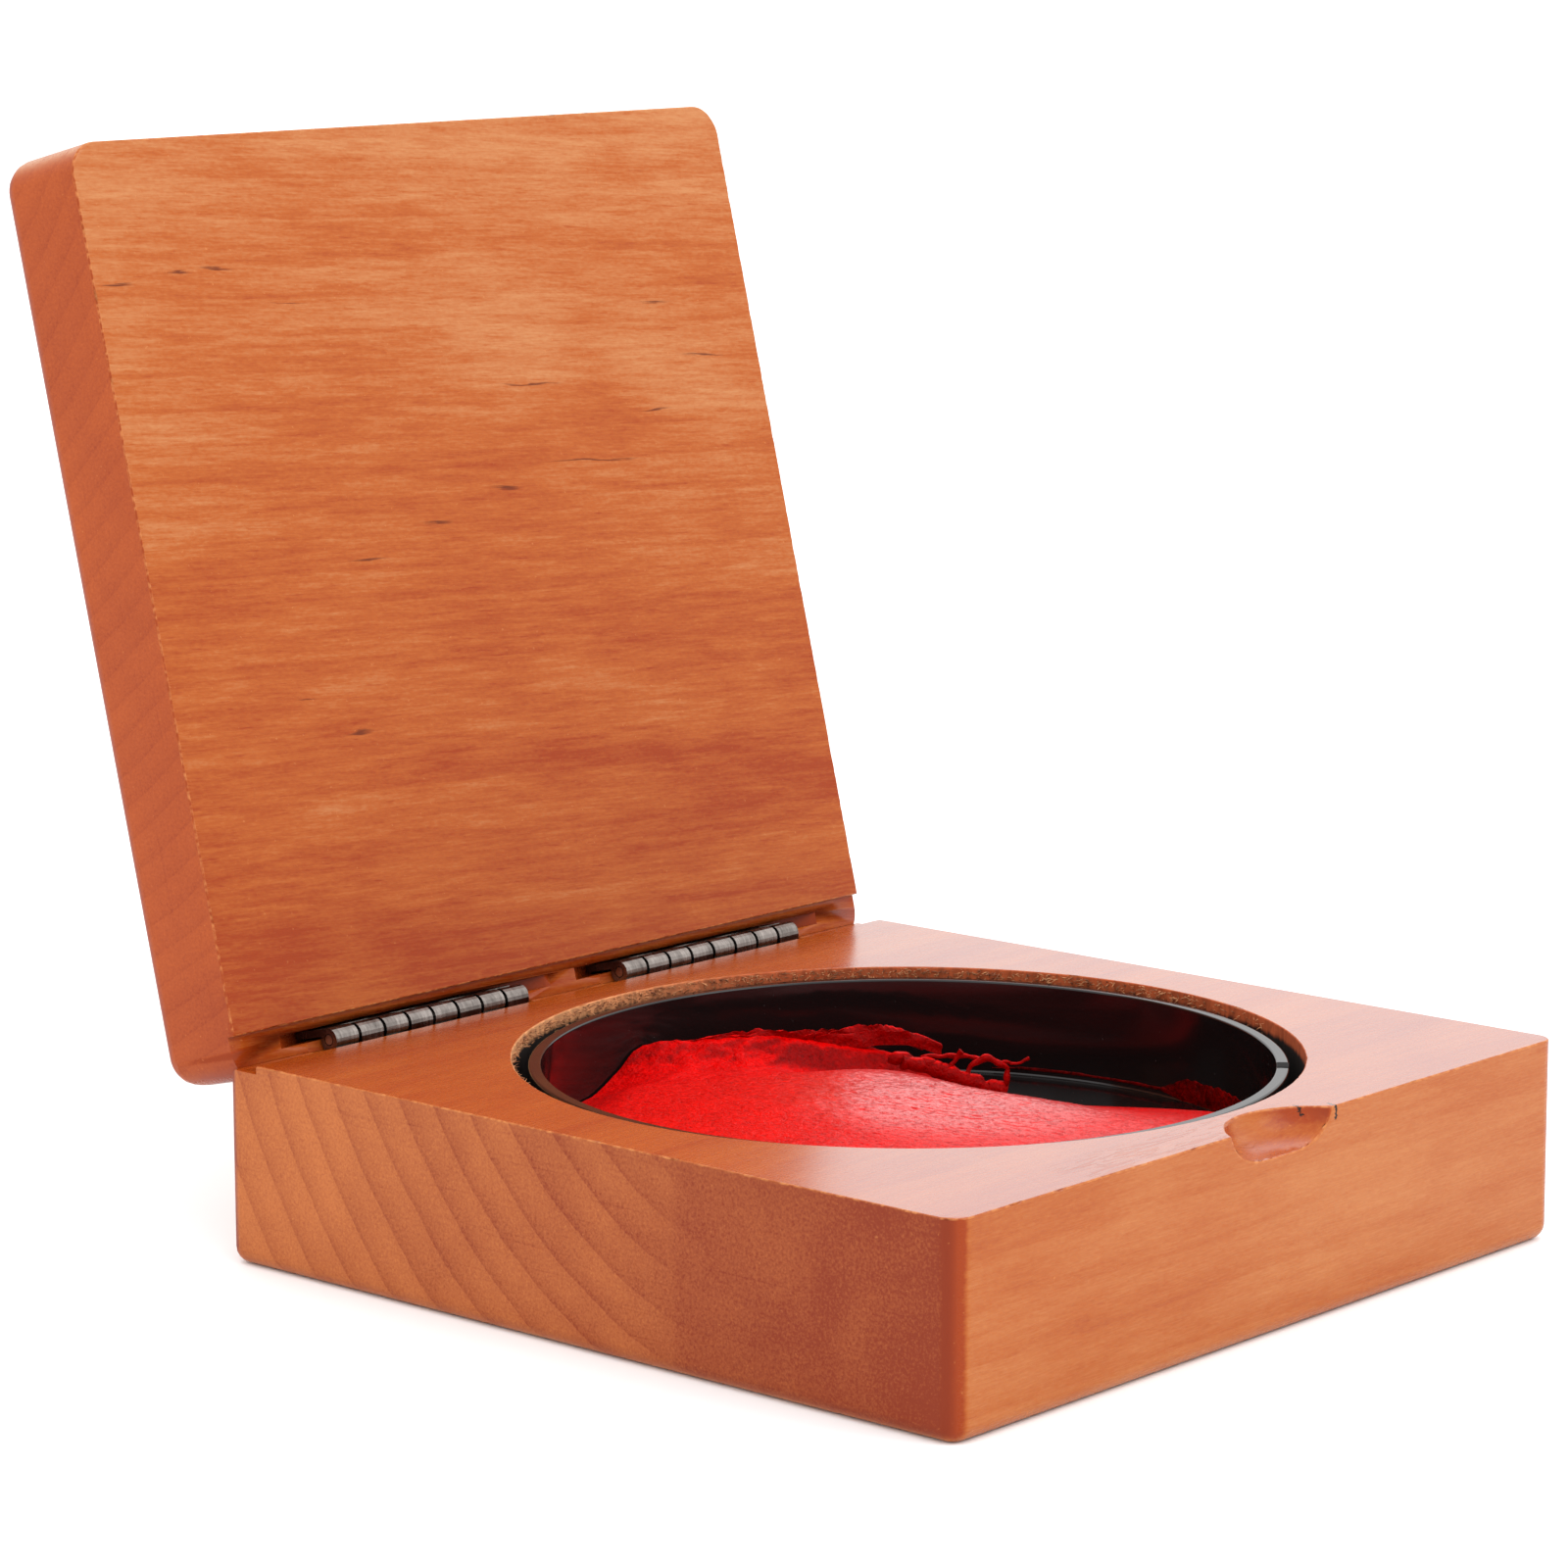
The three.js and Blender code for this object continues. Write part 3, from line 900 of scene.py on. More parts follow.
def sheet_faces(rows: int, columns: int) -> list[tuple[int, ...]]:
    """The faces of a sheet whose rows of points go round it, with both ends closed.

    Args:
        rows: How many rows go round.
        columns: How many points each row has.

    Returns:
        The faces.
    """
    faces: list[tuple[int, ...]] = []
    for i in range(rows):
        a, b = i * columns, (i + 1) % rows * columns
        faces += [(a + k, a + k + 1, b + k + 1, b + k) for k in range(columns - 1)]
    faces.append(tuple(i * columns for i in range(rows)))
    faces.append(tuple(reversed([(i + 1) * columns - 1 for i in range(rows)])))
    return faces


def smoothstep(low: float, high: float, value: np.ndarray | float) -> np.ndarray:
    """A smooth rise from 0 to 1 between two values."""
    t = np.clip((np.asarray(value, dtype=float) - low) / (high - low), 0.0, 1.0)
    return t * t * (3.0 - 2.0 * t)


def field_noise(points: np.ndarray, per_mm: float, seed: float = 0.0) -> np.ndarray:
    """Smooth noise from -1 to 1 at points in millimetres."""
    shift = Vector((seed, seed * 1.7, seed * 2.3))
    return np.array([noise.noise(Vector(p) * per_mm + shift) for p in points])


# ---------------- Sub-assemblies ----------------


class Body(Enum):
    """The bodies that pieces ride on."""

    BASE = "base"
    LID = "lid"


class SubAssembly(ABC):
    """A group of pieces that belong together."""

    @abstractmethod
    def build(self) -> None:
        """Builds and dresses every piece."""


LID_MARKS = (
    Mark(-47.0, -34.7, 6.0, 0.30),
    Mark(-38.0, -35.5, 4.5, 0.35),
    Mark(-32.5, -35.6, 6.5, 0.40),
    Mark(-23.0, -31.2, 6.5, 0.30),
    Mark(34.0, -27.4, 6.5, 0.35),
    Mark(40.5, -20.8, 8.5, 0.50),
    Mark(11.0, -19.6, 12.0, 0.35),
    Mark(30.5, -14.9, 7.0, 0.40),
    Mark(19.0, -10.1, 20.0, 0.40),
    Mark(4.5, -8.4, 6.0, 0.45),
    Mark(-7.0, -5.5, 5.5, 0.50),
    Mark(-18.5, -2.4, 7.5, 0.60),
    Mark(-24.5, 16.0, 5.0, 0.70),
    Mark(-31.0, 11.3, 4.0, 0.30),
)


@dataclass
class CaseBase(SubAssembly):
    """The wooden base with its pocket and finger notch."""

    top_z_mm: float = 22.0
    front_y_mm: float = -50.0
    pocket_radius_mm: float = 41.8
    pocket_centre_y_mm: float = -1.8
    notch_half_mm: float = 10.0
    notch_back_mm: float = 6.0
    notch_drop_mm: float = 5.0
    arris_mm: float = 0.18
    fibre_count: int = 1500
    fibre_length_mm: tuple[float, float] = (0.25, 0.95)
    fibre_radius_mm: tuple[float, float] = (0.03, 0.085)
    fibre_arc: tuple[float, float] = (-0.6, 2.6)
    fibre_reach_mm: float = 40.7
    finish: Finish = field(
        default_factory=lambda: StainedWood(
            name="wood_case_base",
            pith_y_mm=-31.0,
            pith_z_mm=51.0,
            ring_mm=4.5,
            drift=0.02,
            deep=(0.260, 0.034, 0.003),
            warm=(0.355, 0.086, 0.014),
            pale=(0.430, 0.150, 0.044),
            end_deep=(0.190, 0.022, 0.003),
            end_pale=(0.435, 0.126, 0.031),
            ring_on_end=0.30,
            ring_end_from_mm=-12.0,
            end_fade=0.0075,
            end_turn=0.14,
            face_level=0.17,
            top_shift=0.32,
            figure=0.6,
            top_tint=(1.03, 0.86, 0.55),
            top_coat=0.90,
            pocket_mm=(0.0, -1.8, 41.8),
            sag_mm=(-14.0, 17.0, -50.0),
            cracks=(Crack(9.9, 0.34, 20.4, -48.7), Crack(7.0, 0.22, 20.9, -46.6)),
        )
    )

    def _is_arris(self, point: Vector) -> bool:
        """Says whether a point lies on the top face's outline or the notch's.

        Args:
            point: The point, in metres.

        Returns:
            Whether it does.
        """
        x, y, z = (c / MM for c in point)
        across = abs(x) < self.notch_half_mm and y < self.front_y_mm + self.notch_back_mm
        return z > self.top_z_mm - TOUCH_MM or (across and z > self.top_z_mm - self.notch_drop_mm)

    def build(self) -> None:
        """Builds and dresses the base and the torn fibres in its pocket."""
        base = frame_copy("base_block", "case_base", self._is_arris, self.arris_mm)
        wood = self.finish.material()
        dress(base, wood, Body.BASE.value)
        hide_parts("base_block")
        fibres = self._pocket_fibres()
        dress(fibres, RawFibre().material(), Body.BASE.value)

    def _pocket_fibres(self) -> bpy.types.Object:
        """Makes the fibres torn up by the cutter, round the back and right of the pocket.

        Returns:
            The piece that holds them all.
        """
        rng = random.Random(11)
        slivers = []
        while len(slivers) < self.fibre_count:
            angle = rng.uniform(*self.fibre_arc)
            share = smoothstep(-0.6, 0.3, angle) * (1 - 0.6 * smoothstep(1.2, 2.6, angle))
            if rng.random() > share:
                continue
            z = self.top_z_mm - 0.25 - abs(rng.gauss(0, 0.8))
            length = rng.uniform(*self.fibre_length_mm)
            lean = Vector((rng.gauss(0, 1.0), rng.gauss(0, 0.35), rng.gauss(0.15, 0.4)))
            inward = Vector((-math.cos(angle), -math.sin(angle), 0.0))
            way = (lean.normalized() * 0.8 + inward * rng.uniform(0.15, 0.6)).normalized()
            radius = self.pocket_radius_mm + 0.08
            root = Vector((radius * math.cos(angle), self.pocket_centre_y_mm + radius * math.sin(angle), z))
            tip = root + way * length
            reach = math.hypot(tip.x, tip.y - self.pocket_centre_y_mm)
            if not self.fibre_reach_mm <= reach <= self.pocket_radius_mm + 0.05:
                continue
            if tip.z > self.top_z_mm - TOUCH_MM:
                continue
            bend = (root + tip) / 2 + Vector((0, 0, rng.uniform(-0.08, 0.08)))
            path = np.array([root, bend, tip]) * MM
            thick = rng.uniform(*self.fibre_radius_mm)
            slivers.append(tube(path, np.array([thick, thick * 0.8, thick * 0.25]) * MM, 4))
        return link("pocket_fibres", gather(slivers))


@dataclass(frozen=True)
class RawFibre(Finish):
    """Loose unstained wood fibre."""

    name: str = "wood_raw_fibre"
    deep: Rgb = (0.16, 0.045, 0.015)
    pale: Rgb = (0.55, 0.24, 0.10)
    roughness: float = 0.8

    def material(self) -> bpy.types.Material:
        """Makes the fibre's material.

        Returns:
            The material.
        """
        s = Shader(bpy.data.materials.new(self.name))
        tone = s.noise(s.place(), 0.9, 2.0).step(0.35, 0.65)
        colour = s.blend(self.deep, self.pale, tone)
        return s.surface(Base_Color=colour, Roughness=self.roughness)


@dataclass
class CaseLid(SubAssembly):
    """The wooden lid, standing open on the hinge axis."""

    axis_y_mm: float = 47.6
    axis_z_mm: float = 22.15
    open_deg: float = 103.8
    face_z_mm: float = 22.3
    arris_mm: float = 0.18
    finish: Finish = field(
        default_factory=lambda: StainedWood(
            name="wood_case_lid",
            pith_y_mm=-95.0,
            pith_z_mm=78.0,
            ring_mm=3.1,
            drift=0.015,
            deep=(0.265, 0.034, 0.003),
            warm=(0.360, 0.084, 0.013),
            pale=(0.435, 0.172, 0.062),
            end_deep=(0.240, 0.030, 0.002),
            end_pale=(0.410, 0.080, 0.010),
            end_level=0.46,
            turn_deg=103.8,
            turn_centre_mm=(0.0, 47.6, 22.15),
            ring_on_end=0.16,
            face_fade=-0.0062,
            slant=0.066,
            marks=LID_MARKS,
        )
    )

    def _is_arris(self, point: Vector) -> bool:
        """Says whether a point lies in the face that meets the base.

        Args:
            point: The point, in metres, with the lid open.

        Returns:
            Whether it does.
        """
        turn = Matrix.Rotation(math.radians(self.open_deg), 3, "X")
        arm = Vector((point.x, point.y - self.axis_y_mm * MM, point.z - self.axis_z_mm * MM))
        return abs((turn @ arm).z / MM + self.axis_z_mm - self.face_z_mm) < TOUCH_MM

    def build(self) -> None:
        """Builds and dresses the lid."""
        lid = frame_copy("lid_block", "case_lid", self._is_arris, self.arris_mm)
        dress(lid, self.finish.material(), Body.LID.value)
        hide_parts("lid_block")


# Places across the mould mark on the rim, in shares of its width
GATE_STEPS = (-0.75, -0.5, -0.42, -0.2, -0.12, -0.06, 0.0, 0.06, 0.12, 0.2, 0.42, 0.5, 0.75)


@dataclass
class Dish(SubAssembly):
    """The loose round dish of black plastic."""

    centre_y_mm: float = -1.8
    outer_mm: float = 40.1
    inner_mm: float = 38.7
    foot_z_mm: float = 9.2
    floor_z_mm: float = 10.7
    rim_z_mm: float = 21.2
    foot_round_mm: float = 1.2
    rim_outer_round_mm: float = 0.3
    rim_inner_round_mm: float = 0.22
    corner_round_mm: float = 0.3
    middle_mm: float = 20.0
    gate_deg: float = -53.8
    gate_mm: float = 2.8
    gate_sunk_mm: float = 0.46
    gate_raised_mm: float = 0.14
    segments: int = 240
    bend_steps: int = 6
    finish: Finish = field(default_factory=GlossBlack)

    def _profile(self) -> list[tuple[float, float, bool]]:
        """The section from the axis underneath, round the rim and back to the axis.

        Returns:
            Radius, height and whether the point is on the rim's flat top.
        """
        foot, rim = self.foot_round_mm, self.rim_outer_round_mm
        lip, corner = self.rim_inner_round_mm, self.corner_round_mm
        arcs = (
            (self.outer_mm - foot, self.foot_z_mm + foot, foot, -90, 0, False),
            (self.outer_mm - rim, self.rim_z_mm - rim, rim, 0, 90, True),
            (self.inner_mm + lip, self.rim_z_mm - lip, lip, 90, 180, True),
            (self.inner_mm - corner, self.floor_z_mm + corner, corner, 0, -90, False),
        )
        section = [(0.0, self.foot_z_mm, False), (self.middle_mm, self.foot_z_mm, False)]
        for radius, z, size, start, end, on_rim in arcs:
            for i in range(self.bend_steps + 1):
                angle = math.radians(start + (end - start) * i / self.bend_steps)
                section.append((radius + size * math.cos(angle), z + size * math.sin(angle), on_rim))
        return section + [(self.middle_mm, self.floor_z_mm, False), (0.0, self.floor_z_mm, False)]

    def build(self) -> None:
        """Builds and dresses the dish."""
        profile = self._profile()
        angles = list(np.linspace(0, 2 * math.pi, self.segments, endpoint=False))
        gate = math.radians(self.gate_deg) % (2 * math.pi)
        width = self.gate_mm / self.outer_mm
        near = [gate + width * share for share in GATE_STEPS]
        angles = sorted([a for a in angles if abs(a - gate) > width] + near)
        points: list[tuple[float, float, float]] = []
        for angle in angles:
            off = abs(angle - gate) / width
            sunk = self.gate_sunk_mm * (1 - smoothstep(0.42, 0.50, off))
            sunk -= self.gate_raised_mm * (1 - smoothstep(0.06, 0.12, off))
            for radius, z, rim in profile[1:-1]:
                z_here = z - (float(sunk) if rim and off < 0.8 else 0.0)
                points.append((radius * math.cos(angle), self.centre_y_mm + radius * math.sin(angle), z_here))
        rows = len(profile) - 2
        count = len(angles)
        faces: list[tuple[int, ...]] = []
        for i in range(count):
            j = (i + 1) % count
            for k in range(rows - 1):
                faces.append((i * rows + k, j * rows + k, j * rows + k + 1, i * rows + k + 1))
        faces.append(tuple(reversed([i * rows for i in range(count)])))
        faces.append(tuple(i * rows + rows - 1 for i in range(count)))
        mesh = mesh_from(np.array(points) * MM, faces)
        smooth(mesh, 40)
        dish = link("dish_shell", mesh)
        weighted(dish)
        dress(dish, self.finish.material(), Body.BASE.value)
        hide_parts("ink_dish")


SHEET_ROWS = 9
FRILL_COLUMNS = 260


@dataclass(frozen=True)
class Curl:
    """One strand of paste pulled up at the ridge's right end.

    Args:
        radius_mm: Half its thickness.
        path_mm: Points along it, from the dish's middle and floor.
    """

    radius_mm: float
    path_mm: tuple[Rgb, ...]


CURLS = (
    Curl(1.1, ((18, 16.2, 4.4), (19.5, 14.6, 3.9), (21.6, 12.2, 2.9), (23.8, 9.7, 1.7), (25.8, 7.6, 0.9))),
    Curl(0.9, ((17.5, 17.5, 4.8), (19, 15.6, 4.6), (20.6, 13.4, 3.9), (22, 11.8, 2.8), (22.6, 11, 1.6))),
    Curl(0.42, ((23, 10.8, 2.4), (23.1, 10.6, 4), (24.2, 9.4, 4.8), (25.9, 7.4, 3.9), (25.7, 7.7, 1.2))),
    Curl(0.46, ((20.8, 12.9, 3), (21.5, 12.3, 3.6), (22, 11.8, 4.5), (22.5, 11.2, 5.5))),
    Curl(0.26, ((25.4, 8, 4.2), (26.6, 7.6, 4), (27.3, 7, 4), (28, 6.1, 4.5))),
    Curl(0.34, ((20, 15, 4.8), (21.8, 13.2, 4.9), (23.4, 11.6, 4.7), (24.6, 9.6, 4.4))),
)


@dataclass
class Paste(SubAssembly):
    """The seal paste: a smoothed mound in front of a ragged ridge, with a bite missing on the right."""

    centre_y_mm: float = -1.8
    floor_z_mm: float = 10.72
    reach_mm: float = 38.45
    body_mm: float = 4.6
    lip_mm: float = 0.8
    mound_mm: float = 0.8
    ridge_mm: float = 1.9
    bite_mm: float = 13.0
    bite_middle_deg: float = 4.0
    bite_span_deg: float = 74.0
    ridge_y_mm: float = 38.2
    ridge_slope: float = 0.85
    ridge_run: float = 1.312
    ridge_front_mm: float = 2.6
    ridge_back_mm: float = 1.8
    mound_y_mm: float = 23.8
    mound_slope: float = 0.72
    mound_run: float = 1.232
    scraped_mm: float = 2.0
    behind_share: float = 0.62
    wall_mm: float = 38.69
    rings: int = 190
    spokes: int = 520
    finish: Finish = field(default_factory=SealRed)
    # The smear's reds are darker because the film is thin over black plastic, and also as painted shade
    # inside the dish
    smear: Finish = field(
        default_factory=lambda: SealRed(
            name="seal_paste_thin_shaded", deep=(0.05, 0.0, 0.0), warm=(0.22, 0.0, 0.0), pale=(0.50, 0.001, 0.001)
        )
    )

    def _bite(self, angle: np.ndarray) -> np.ndarray:
        """How much is missing in each direction.

        Args:
            angle: Directions from the dish's middle.

        Returns:
            Shares, 0 to 1.
        """
        off = (angle - math.radians(self.bite_middle_deg) + math.pi) % (2 * math.pi) - math.pi
        share = np.degrees(np.abs(off)) / self.bite_span_deg
        return np.where(share < 1.0, np.cos(np.radians(share * 90)) ** 2, 0.0)

    def _ridge_line(self, x: np.ndarray) -> np.ndarray:
        """How far back the ridge's line is at a place across the dish."""
        return self.ridge_y_mm - self.ridge_slope * x

    def _ridge_rise(self, x: np.ndarray) -> np.ndarray:
        """How high the ridge stands at a place across the dish."""
        standing = smoothstep(-12, 2, x) * (1 - smoothstep(21, 27, x))
        return self.ridge_mm * standing * (1 + 0.15 * smoothstep(13, 20, x))

    def _height(self, x: np.ndarray, y: np.ndarray, share: np.ndarray, bite: np.ndarray) -> np.ndarray:
        """The paste's height over the dish floor.

        Args:
            x: Places across, from the dish's middle.
            y: Places back, from the dish's middle.
            share: How far out each place is, 0 to 1.
            bite: How much is missing in its direction.

        Returns:
            Heights in millimetres.
        """
        flat = np.stack([x, y, np.zeros_like(x)], axis=1)
        across = np.stack([x, np.zeros_like(x), np.zeros_like(x)], axis=1)
        out = np.hypot(x, y)
        swell = self.mound_mm * np.exp(-((x - 2) ** 2) / 500 - (y - 8) ** 2 / 400)
        off = (y - self._ridge_line(x)) / self.ridge_run - 0.5 * field_noise(flat, 0.16, 9.0)
        ridge = np.exp(-((off / np.where(off < 0, self.ridge_front_mm, self.ridge_back_mm)) ** 2))
        ridge *= self._ridge_rise(x) * (1 + 0.25 * field_noise(across, 0.33, 4.0))
        past = (y + self.mound_slope * x - self.mound_y_mm) / self.mound_run
        past = past - 0.5 * field_noise(flat, 0.10, 12.0)
        hollow = smoothstep(-1.4, 0.8, past) * (1 - smoothstep(5.0, 9.0, past))
        valley = (0.6 + 2.0 * smoothstep(5, 15, x)) * hollow
        left = self.scraped_mm * smoothstep(30, 38, out) * (1 - smoothstep(-10, 4, x)) * smoothstep(0, 22, y)
        lumps = 0.14 * field_noise(flat, 0.12, 1.0) + 0.05 * field_noise(flat, 0.42, 2.0)
        wild = smoothstep(-6.5, -2.0, off) * smoothstep(-14, 0, x)
        torn = wild * (0.28 * field_noise(flat, 0.55, 5.0) + 0.20 * field_noise(flat, 1.1, 6.0))
        drag = flat @ np.array([[0.22, 0.0, 0.0], [0.0, 1.0, 0.0], [0.0, 0.0, 1.0]])
        comb = 0.14 * smoothstep(-0.5, 1.5, past) * field_noise(drag, 0.9, 8.0)
        grain = 0.05 * field_noise(flat * np.array([1.0, 0.6, 1.0]), 1.9, 3.0)
        top = self.body_mm + swell + ridge - valley - left + lumps + torn + comb + grain
        fall = bite * smoothstep(0.40, 0.90, share)
        behind = self.behind_share * smoothstep(1.5, 3.5, off) * smoothstep(2, 8, x)
        return np.maximum(self.lip_mm * 0.6, (top * (1 - fall) + self.lip_mm * fall) * (1 - behind))

    def build(self) -> None:
        """Builds and dresses the paste bed and its torn edge."""
        red = self.finish.material()
        bed = self._bed()
        dress(bed, red, Body.BASE.value)
        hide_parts("seal_paste")
        dress(self._torn_edge(), red, Body.BASE.value)
        dress(self._wall_smear(), self.smear.material(), Body.BASE.value)

    def _bed(self) -> bpy.types.Object:
        """Makes the body of the paste, closed underneath.

        Returns:
            The piece.
        """
        angle = np.linspace(0, 2 * math.pi, self.spokes, endpoint=False)
        share = np.linspace(0.004, 1.0, self.rings) ** 0.8
        turn, part = np.meshgrid(angle, share)
        turn, part = turn.ravel(), part.ravel()
        bite = self._bite(turn)
        wobble = 1.0 + 0.5 * bite * 0.06 * np.sin(turn * 9) * part
        reach = part * (self.reach_mm - self.bite_mm * bite * wobble)
        x, y = reach * np.cos(turn), reach * np.sin(turn)
        z = self.floor_z_mm + self._height(x, y, part, bite)
        top = np.stack([x, y + self.centre_y_mm, z], axis=1)
        rim = top[-self.spokes :].copy()
        rim[:, 2] = self.floor_z_mm
        points = np.concatenate([top, rim])
        faces: list[tuple[int, ...]] = []
        for i in range(self.rings):
            for j in range(self.spokes):
                k = (j + 1) % self.spokes
                a, b = i * self.spokes, (i + 1) * self.spokes
                faces.append((a + j, b + j, b + k, a + k))
        faces.append(tuple(range(self.spokes)))
        under = self.rings * self.spokes
        faces.append(tuple(reversed(range(under, under + self.spokes))))
        mesh = mesh_from(points * MM, faces)
        smooth(mesh, 60)
        return link("paste_bed", mesh)

    def _torn_edge(self) -> bpy.types.Object:
        """Makes the ragged lip along the ridge, with the curls at its right end.

        Returns:
            The piece.
        """
        rng = random.Random(5)
        sheets = [
            self._frill(2.5, 19.5, 0.7, -0.4, 21.0, 0.42),
            self._frill(5.0, 24.0, 0.9, 0.6, 33.0, 0.34),
            self._frill(14.0, 24.8, 0.5, -0.8, 47.0, 0.30),
        ]
        for curl in CURLS:
            base = np.array(curl.path_mm)
            steps = np.linspace(0, len(base) - 1, 40)
            path = np.stack([np.interp(steps, range(len(base)), base[:, i]) for i in range(3)], axis=1)
            for _ in range(6):
                path[1:-1] = (path[:-2] + 2 * path[1:-1] + path[2:]) / 4
            waver = [field_noise(path, 0.8, rng.uniform(0, 50)) for _ in range(3)]
            path = path + 0.22 * np.stack(waver, axis=1)
            thick = curl.radius_mm * (0.75 + 0.5 * field_noise(path, 0.9, rng.uniform(0, 50)))
            path += np.array([0.0, self.centre_y_mm, self.floor_z_mm])
            sheets.append(tube(path * MM, thick * MM, 8))
        mesh = gather(sheets)
        smooth(mesh, 70)
        return link("paste_torn_edge", mesh)

    def _wall_smear(self) -> bpy.types.Object:
        """Makes the thin paste left on the dish's wall at the right, and a line of it along the floor.

        Returns:
            The piece.
        """
        angle = np.radians(np.linspace(-36.0, 26.0, 420))
        turn = np.degrees(angle)
        spots = np.stack([turn * 0.67, np.zeros_like(turn), np.zeros_like(turn)], axis=1)
        patch = smoothstep(-5.0, -12.5, turn) * smoothstep(-36, -28, turn)
        ragged = 0.5 * field_noise(spots, 0.35, 61.0) + 0.3 * field_noise(spots, 1.1, 63.0)
        low = 0.62 - 0.60 * patch
        high = 0.62 + (0.30 + 0.22 * ragged) * smoothstep(26, 21, turn) + patch * (1.6 + 0.9 * ragged)
        front, back = [], []
        for up in np.arange(SHEET_ROWS) / (SHEET_ROWS - 1):
            z = low + (high - low) * up
            height = np.stack([turn * 0.67, z, np.zeros_like(turn)], axis=1)
            thick = (0.07 + 0.16 * patch) * (1 + 0.8 * field_noise(height, 0.8, 65.0))
            thick = np.maximum(thick * math.sin(math.pi * (0.1 + 0.8 * up)), 0.02)
            face = self.wall_mm - 0.01 - thick
            for radius, layer in ((face, front), (np.full_like(turn, self.wall_mm), back)):
                layer.append(np.stack([radius * np.cos(angle), radius * np.sin(angle), z], axis=1))
        loop = front + back[::-1]
        points = np.concatenate(loop) + np.array([0.0, self.centre_y_mm, self.floor_z_mm])
        mesh = mesh_from(points * MM, sheet_faces(len(loop), len(turn)))
        smooth(mesh, 60)
        return link("paste_wall_smear", mesh)

    def _frill(
        self, start: float, end: float, tall: float, behind: float, seed: float, thick: float
    ) -> tuple[np.ndarray, list[tuple[int, ...]]]:
        """A thin torn sheet standing along the ridge.

        Args:
            start: Where it starts across the dish.
            end: Where it ends.
            tall: Its greatest height over the ridge.
            behind: How far it stands behind the ridge's line.
            seed: Start of its noise.
            thick: Its thickness at the foot.

        Returns:
            Points and faces.
        """
        x = np.linspace(start, end, FRILL_COLUMNS)
        flat = np.stack([x, np.zeros_like(x), np.zeros_like(x)], axis=1)
        y = self._ridge_line(x) + behind + 0.5 * field_noise(flat, 0.16, 9.0)
        ends = smoothstep(start, start + 4, x) * (1 - smoothstep(end - 3, end, x))
        crest = self.body_mm + self._ridge_rise(x) * (1 + 0.25 * field_noise(flat, 0.33, 4.0))
        tears = 0.55 + 0.55 * field_noise(flat, 0.30, seed) + 0.35 * field_noise(flat, 0.95, seed + 3)
        tears += 0.22 * field_noise(flat, 2.6, seed + 7)
        rise = tall * ends * np.clip(tears, 0.05, 1.4)
        front, back = [], []
        for up in np.arange(SHEET_ROWS) / (SHEET_ROWS - 1):
            sway = 0.9 * up * up * field_noise(flat + np.array([0, 3.0 * up, 0]), 0.55, seed + 11)
            half = thick * (1 - 0.75 * up) / 2
            z = crest - 1.4 + (1.4 + rise) * up
            front.append(np.stack([x, y + sway - half, z], axis=1))
            back.append(np.stack([x, y + sway + half, z], axis=1))
        loop = front + back[::-1]
        points = np.concatenate(loop) + np.array([0.0, self.centre_y_mm, self.floor_z_mm])
        return points * MM, sheet_faces(len(loop), FRILL_COLUMNS)


@dataclass
class Hinges(SubAssembly):
    """The two small butt hinges."""

    sides: tuple[str, ...] = ("left", "right")
    round_mm: float = 0.10
    sharp_deg: float = 50.0
    leaf: Finish = field(
        default_factory=lambda: DarkNickel(
            name="hinge_dark_nickel", dark=(0.040, 0.032, 0.028), bright=(0.42, 0.37, 0.34), roughness=0.25
        )
    )
    pin: Finish = field(
        default_factory=lambda: DarkNickel(
            name="hinge_pin_steel", dark=(0.20, 0.19, 0.18), bright=(0.55, 0.53, 0.50), roughness=0.28
        )
    )

    def build(self) -> None:
        """Dresses the leaves and pins, whose shapes come from the frame."""
        leaf, pin = self.leaf.material(), self.pin.material()
        for side in self.sides:
            for part, finish in (("base_leaf", leaf), ("lid_leaf", leaf), ("pin", pin)):
                piece = bpy.data.objects[f"hinge_{side}_{part}"]
                piece.data.materials.clear()
                piece.data.materials.append(finish)
                modifier = piece.modifiers.new("eased", "BEVEL")
                modifier.width = self.round_mm * MM
                modifier.segments = 2
                modifier.limit_method = "ANGLE"
                modifier.angle_limit = math.radians(self.sharp_deg)
                modifier.harden_normals = True
                LOG.info("%s: dressed", piece.name)


# ---------------- Studio ----------------


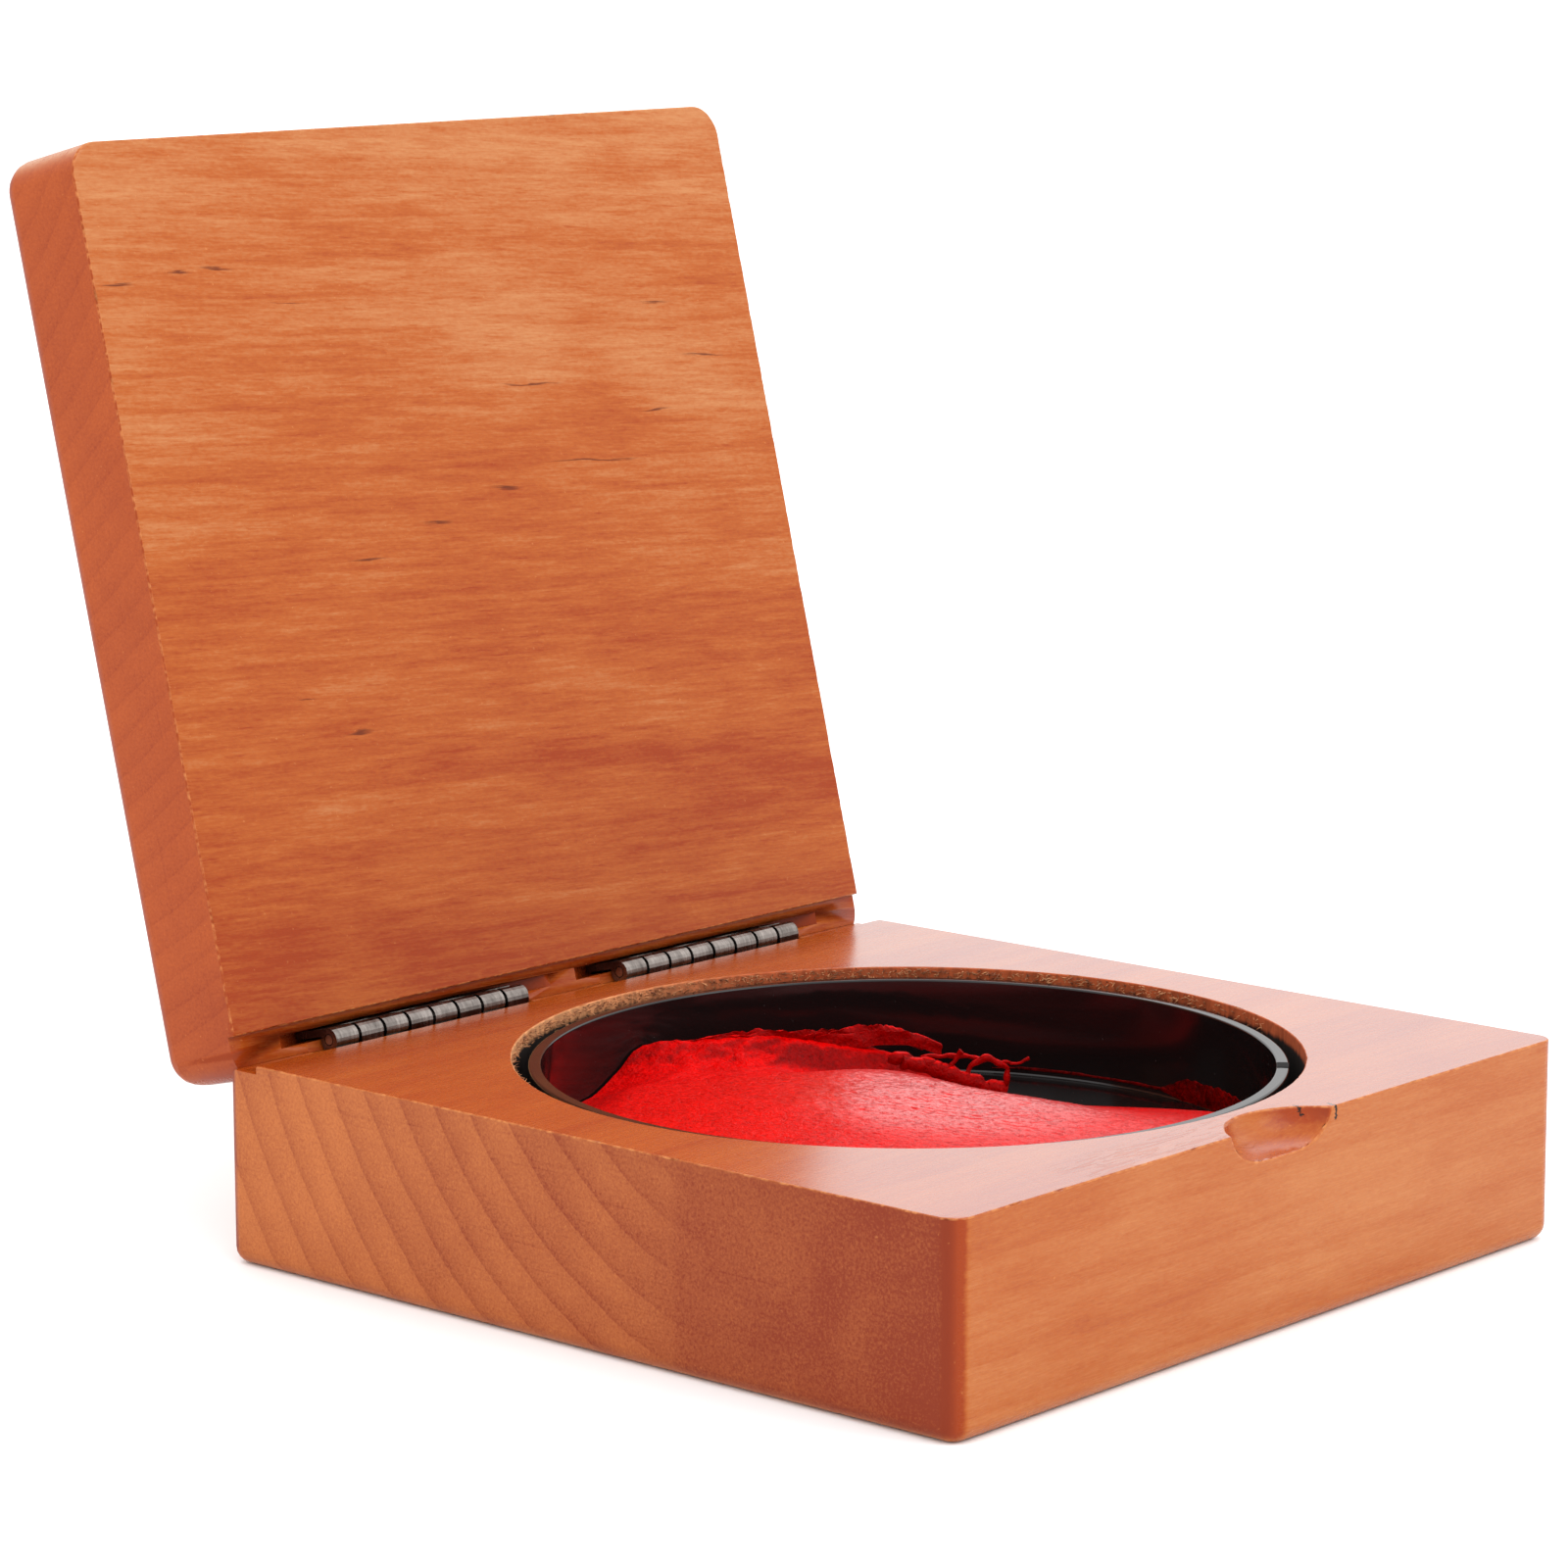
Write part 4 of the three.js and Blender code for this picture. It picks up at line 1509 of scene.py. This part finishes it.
@dataclass
class Studio:
    """Floor, soft lights and camera."""

    sky_low: float = 1.20
    sky_high: float = 1.85
    sky_from: float = 0.20
    sky_to: float = 0.55
    floor_size: float = 30.0
    camera_place: Rgb = (-0.412085, -0.350530, 0.147947)
    azimuth_deg: float = 48.379
    pitch_deg: float = 10.221
    roll_deg: float = 0.160
    lens_mm: float = 120.402
    sensor_mm: float = 36.0
    aim: Rgb = (0.0, 0.0, 0.03)

    def camera(self) -> None:
        """Sets the camera up."""
        data = bpy.data.cameras.new("view")
        data.lens = self.lens_mm
        data.sensor_width = self.sensor_mm
        data.clip_start = 0.01
        data.clip_end = 100.0
        piece = bpy.data.objects.new("view", data)
        a, p, r = (math.radians(d) for d in (self.azimuth_deg, self.pitch_deg, self.roll_deg))
        ahead = Vector((math.cos(p) * math.sin(a), math.cos(p) * math.cos(a), -math.sin(p)))
        level = Vector((math.cos(a), -math.sin(a), 0.0))
        down = ahead.cross(level)
        right = math.cos(r) * level + math.sin(r) * down
        low = math.cos(r) * down - math.sin(r) * level
        turn = Matrix((right, -low, -ahead)).transposed().to_4x4()
        piece.matrix_world = Matrix.Translation(self.camera_place) @ turn
        bpy.context.scene.collection.objects.link(piece)
        bpy.context.scene.camera = piece

    def light(self, name: str, place: Rgb, size: float, watts: float) -> None:
        """Adds one soft box that points at the object.

        Args:
            name: Its name.
            place: Where it hangs.
            size: Its side.
            watts: Its power.
        """
        data = bpy.data.lights.new(name, "AREA")
        data.shape = "SQUARE"
        data.size = size
        data.energy = watts
        piece = bpy.data.objects.new(name, data)
        way = Vector(self.aim) - Vector(place)
        piece.rotation_euler = way.to_track_quat("-Z", "Y").to_euler()
        piece.location = place
        bpy.context.scene.collection.objects.link(piece)

    def world(self) -> bpy.types.World:
        """Makes the white surroundings, brighter overhead than near the floor.

        Returns:
            The world.
        """
        world = bpy.data.worlds.new("studio")
        s = Shader(world)
        up = s.parts(s.node("ShaderNodeTexCoord", output="Generated"))[2]
        spread = {"Value": up, "From Min": self.sky_from, "From Max": self.sky_to}
        spread |= {"To Min": self.sky_low, "To Max": self.sky_high}
        strength = s.node("ShaderNodeMapRange", inputs=spread)
        sky = s.node("ShaderNodeBackground", inputs={"Color": (1.0, 1.0, 1.0), "Strength": strength})
        s.end(sky, "ShaderNodeOutputWorld")
        return world

    def build(self) -> None:
        """Builds the floor, the sky and the lights."""
        scene = bpy.context.scene
        scene.world = self.world()
        scene.view_settings.view_transform = "Standard"
        scene.view_settings.look = "None"
        half = self.floor_size / 2
        points = np.array([(x * half, y * half, 0.0) for x, y in ((-1, -1), (1, -1), (1, 1), (-1, 1))])
        floor = link("floor", mesh_from(points, [(0, 1, 2, 3)]))
        floor.data.materials.append(PaleFloor().material())
        self.light("key", (0.35, -0.95, 0.85), 0.7, 4.0)
        self.light("fill", (-1.1, -0.2, 0.55), 0.8, 0.8)


def main() -> None:
    """Builds the ink pad and its studio in order."""
    logging.basicConfig(level=logging.INFO, format="%(name)s %(message)s")
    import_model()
    studio = Studio()
    studio.camera()
    for part in (CaseBase(), CaseLid(), Dish(), Paste(), Hinges()):
        LOG.info("building %s", type(part).__name__)
        part.build()
    studio.build()


if __name__ == "__main__":
    main()
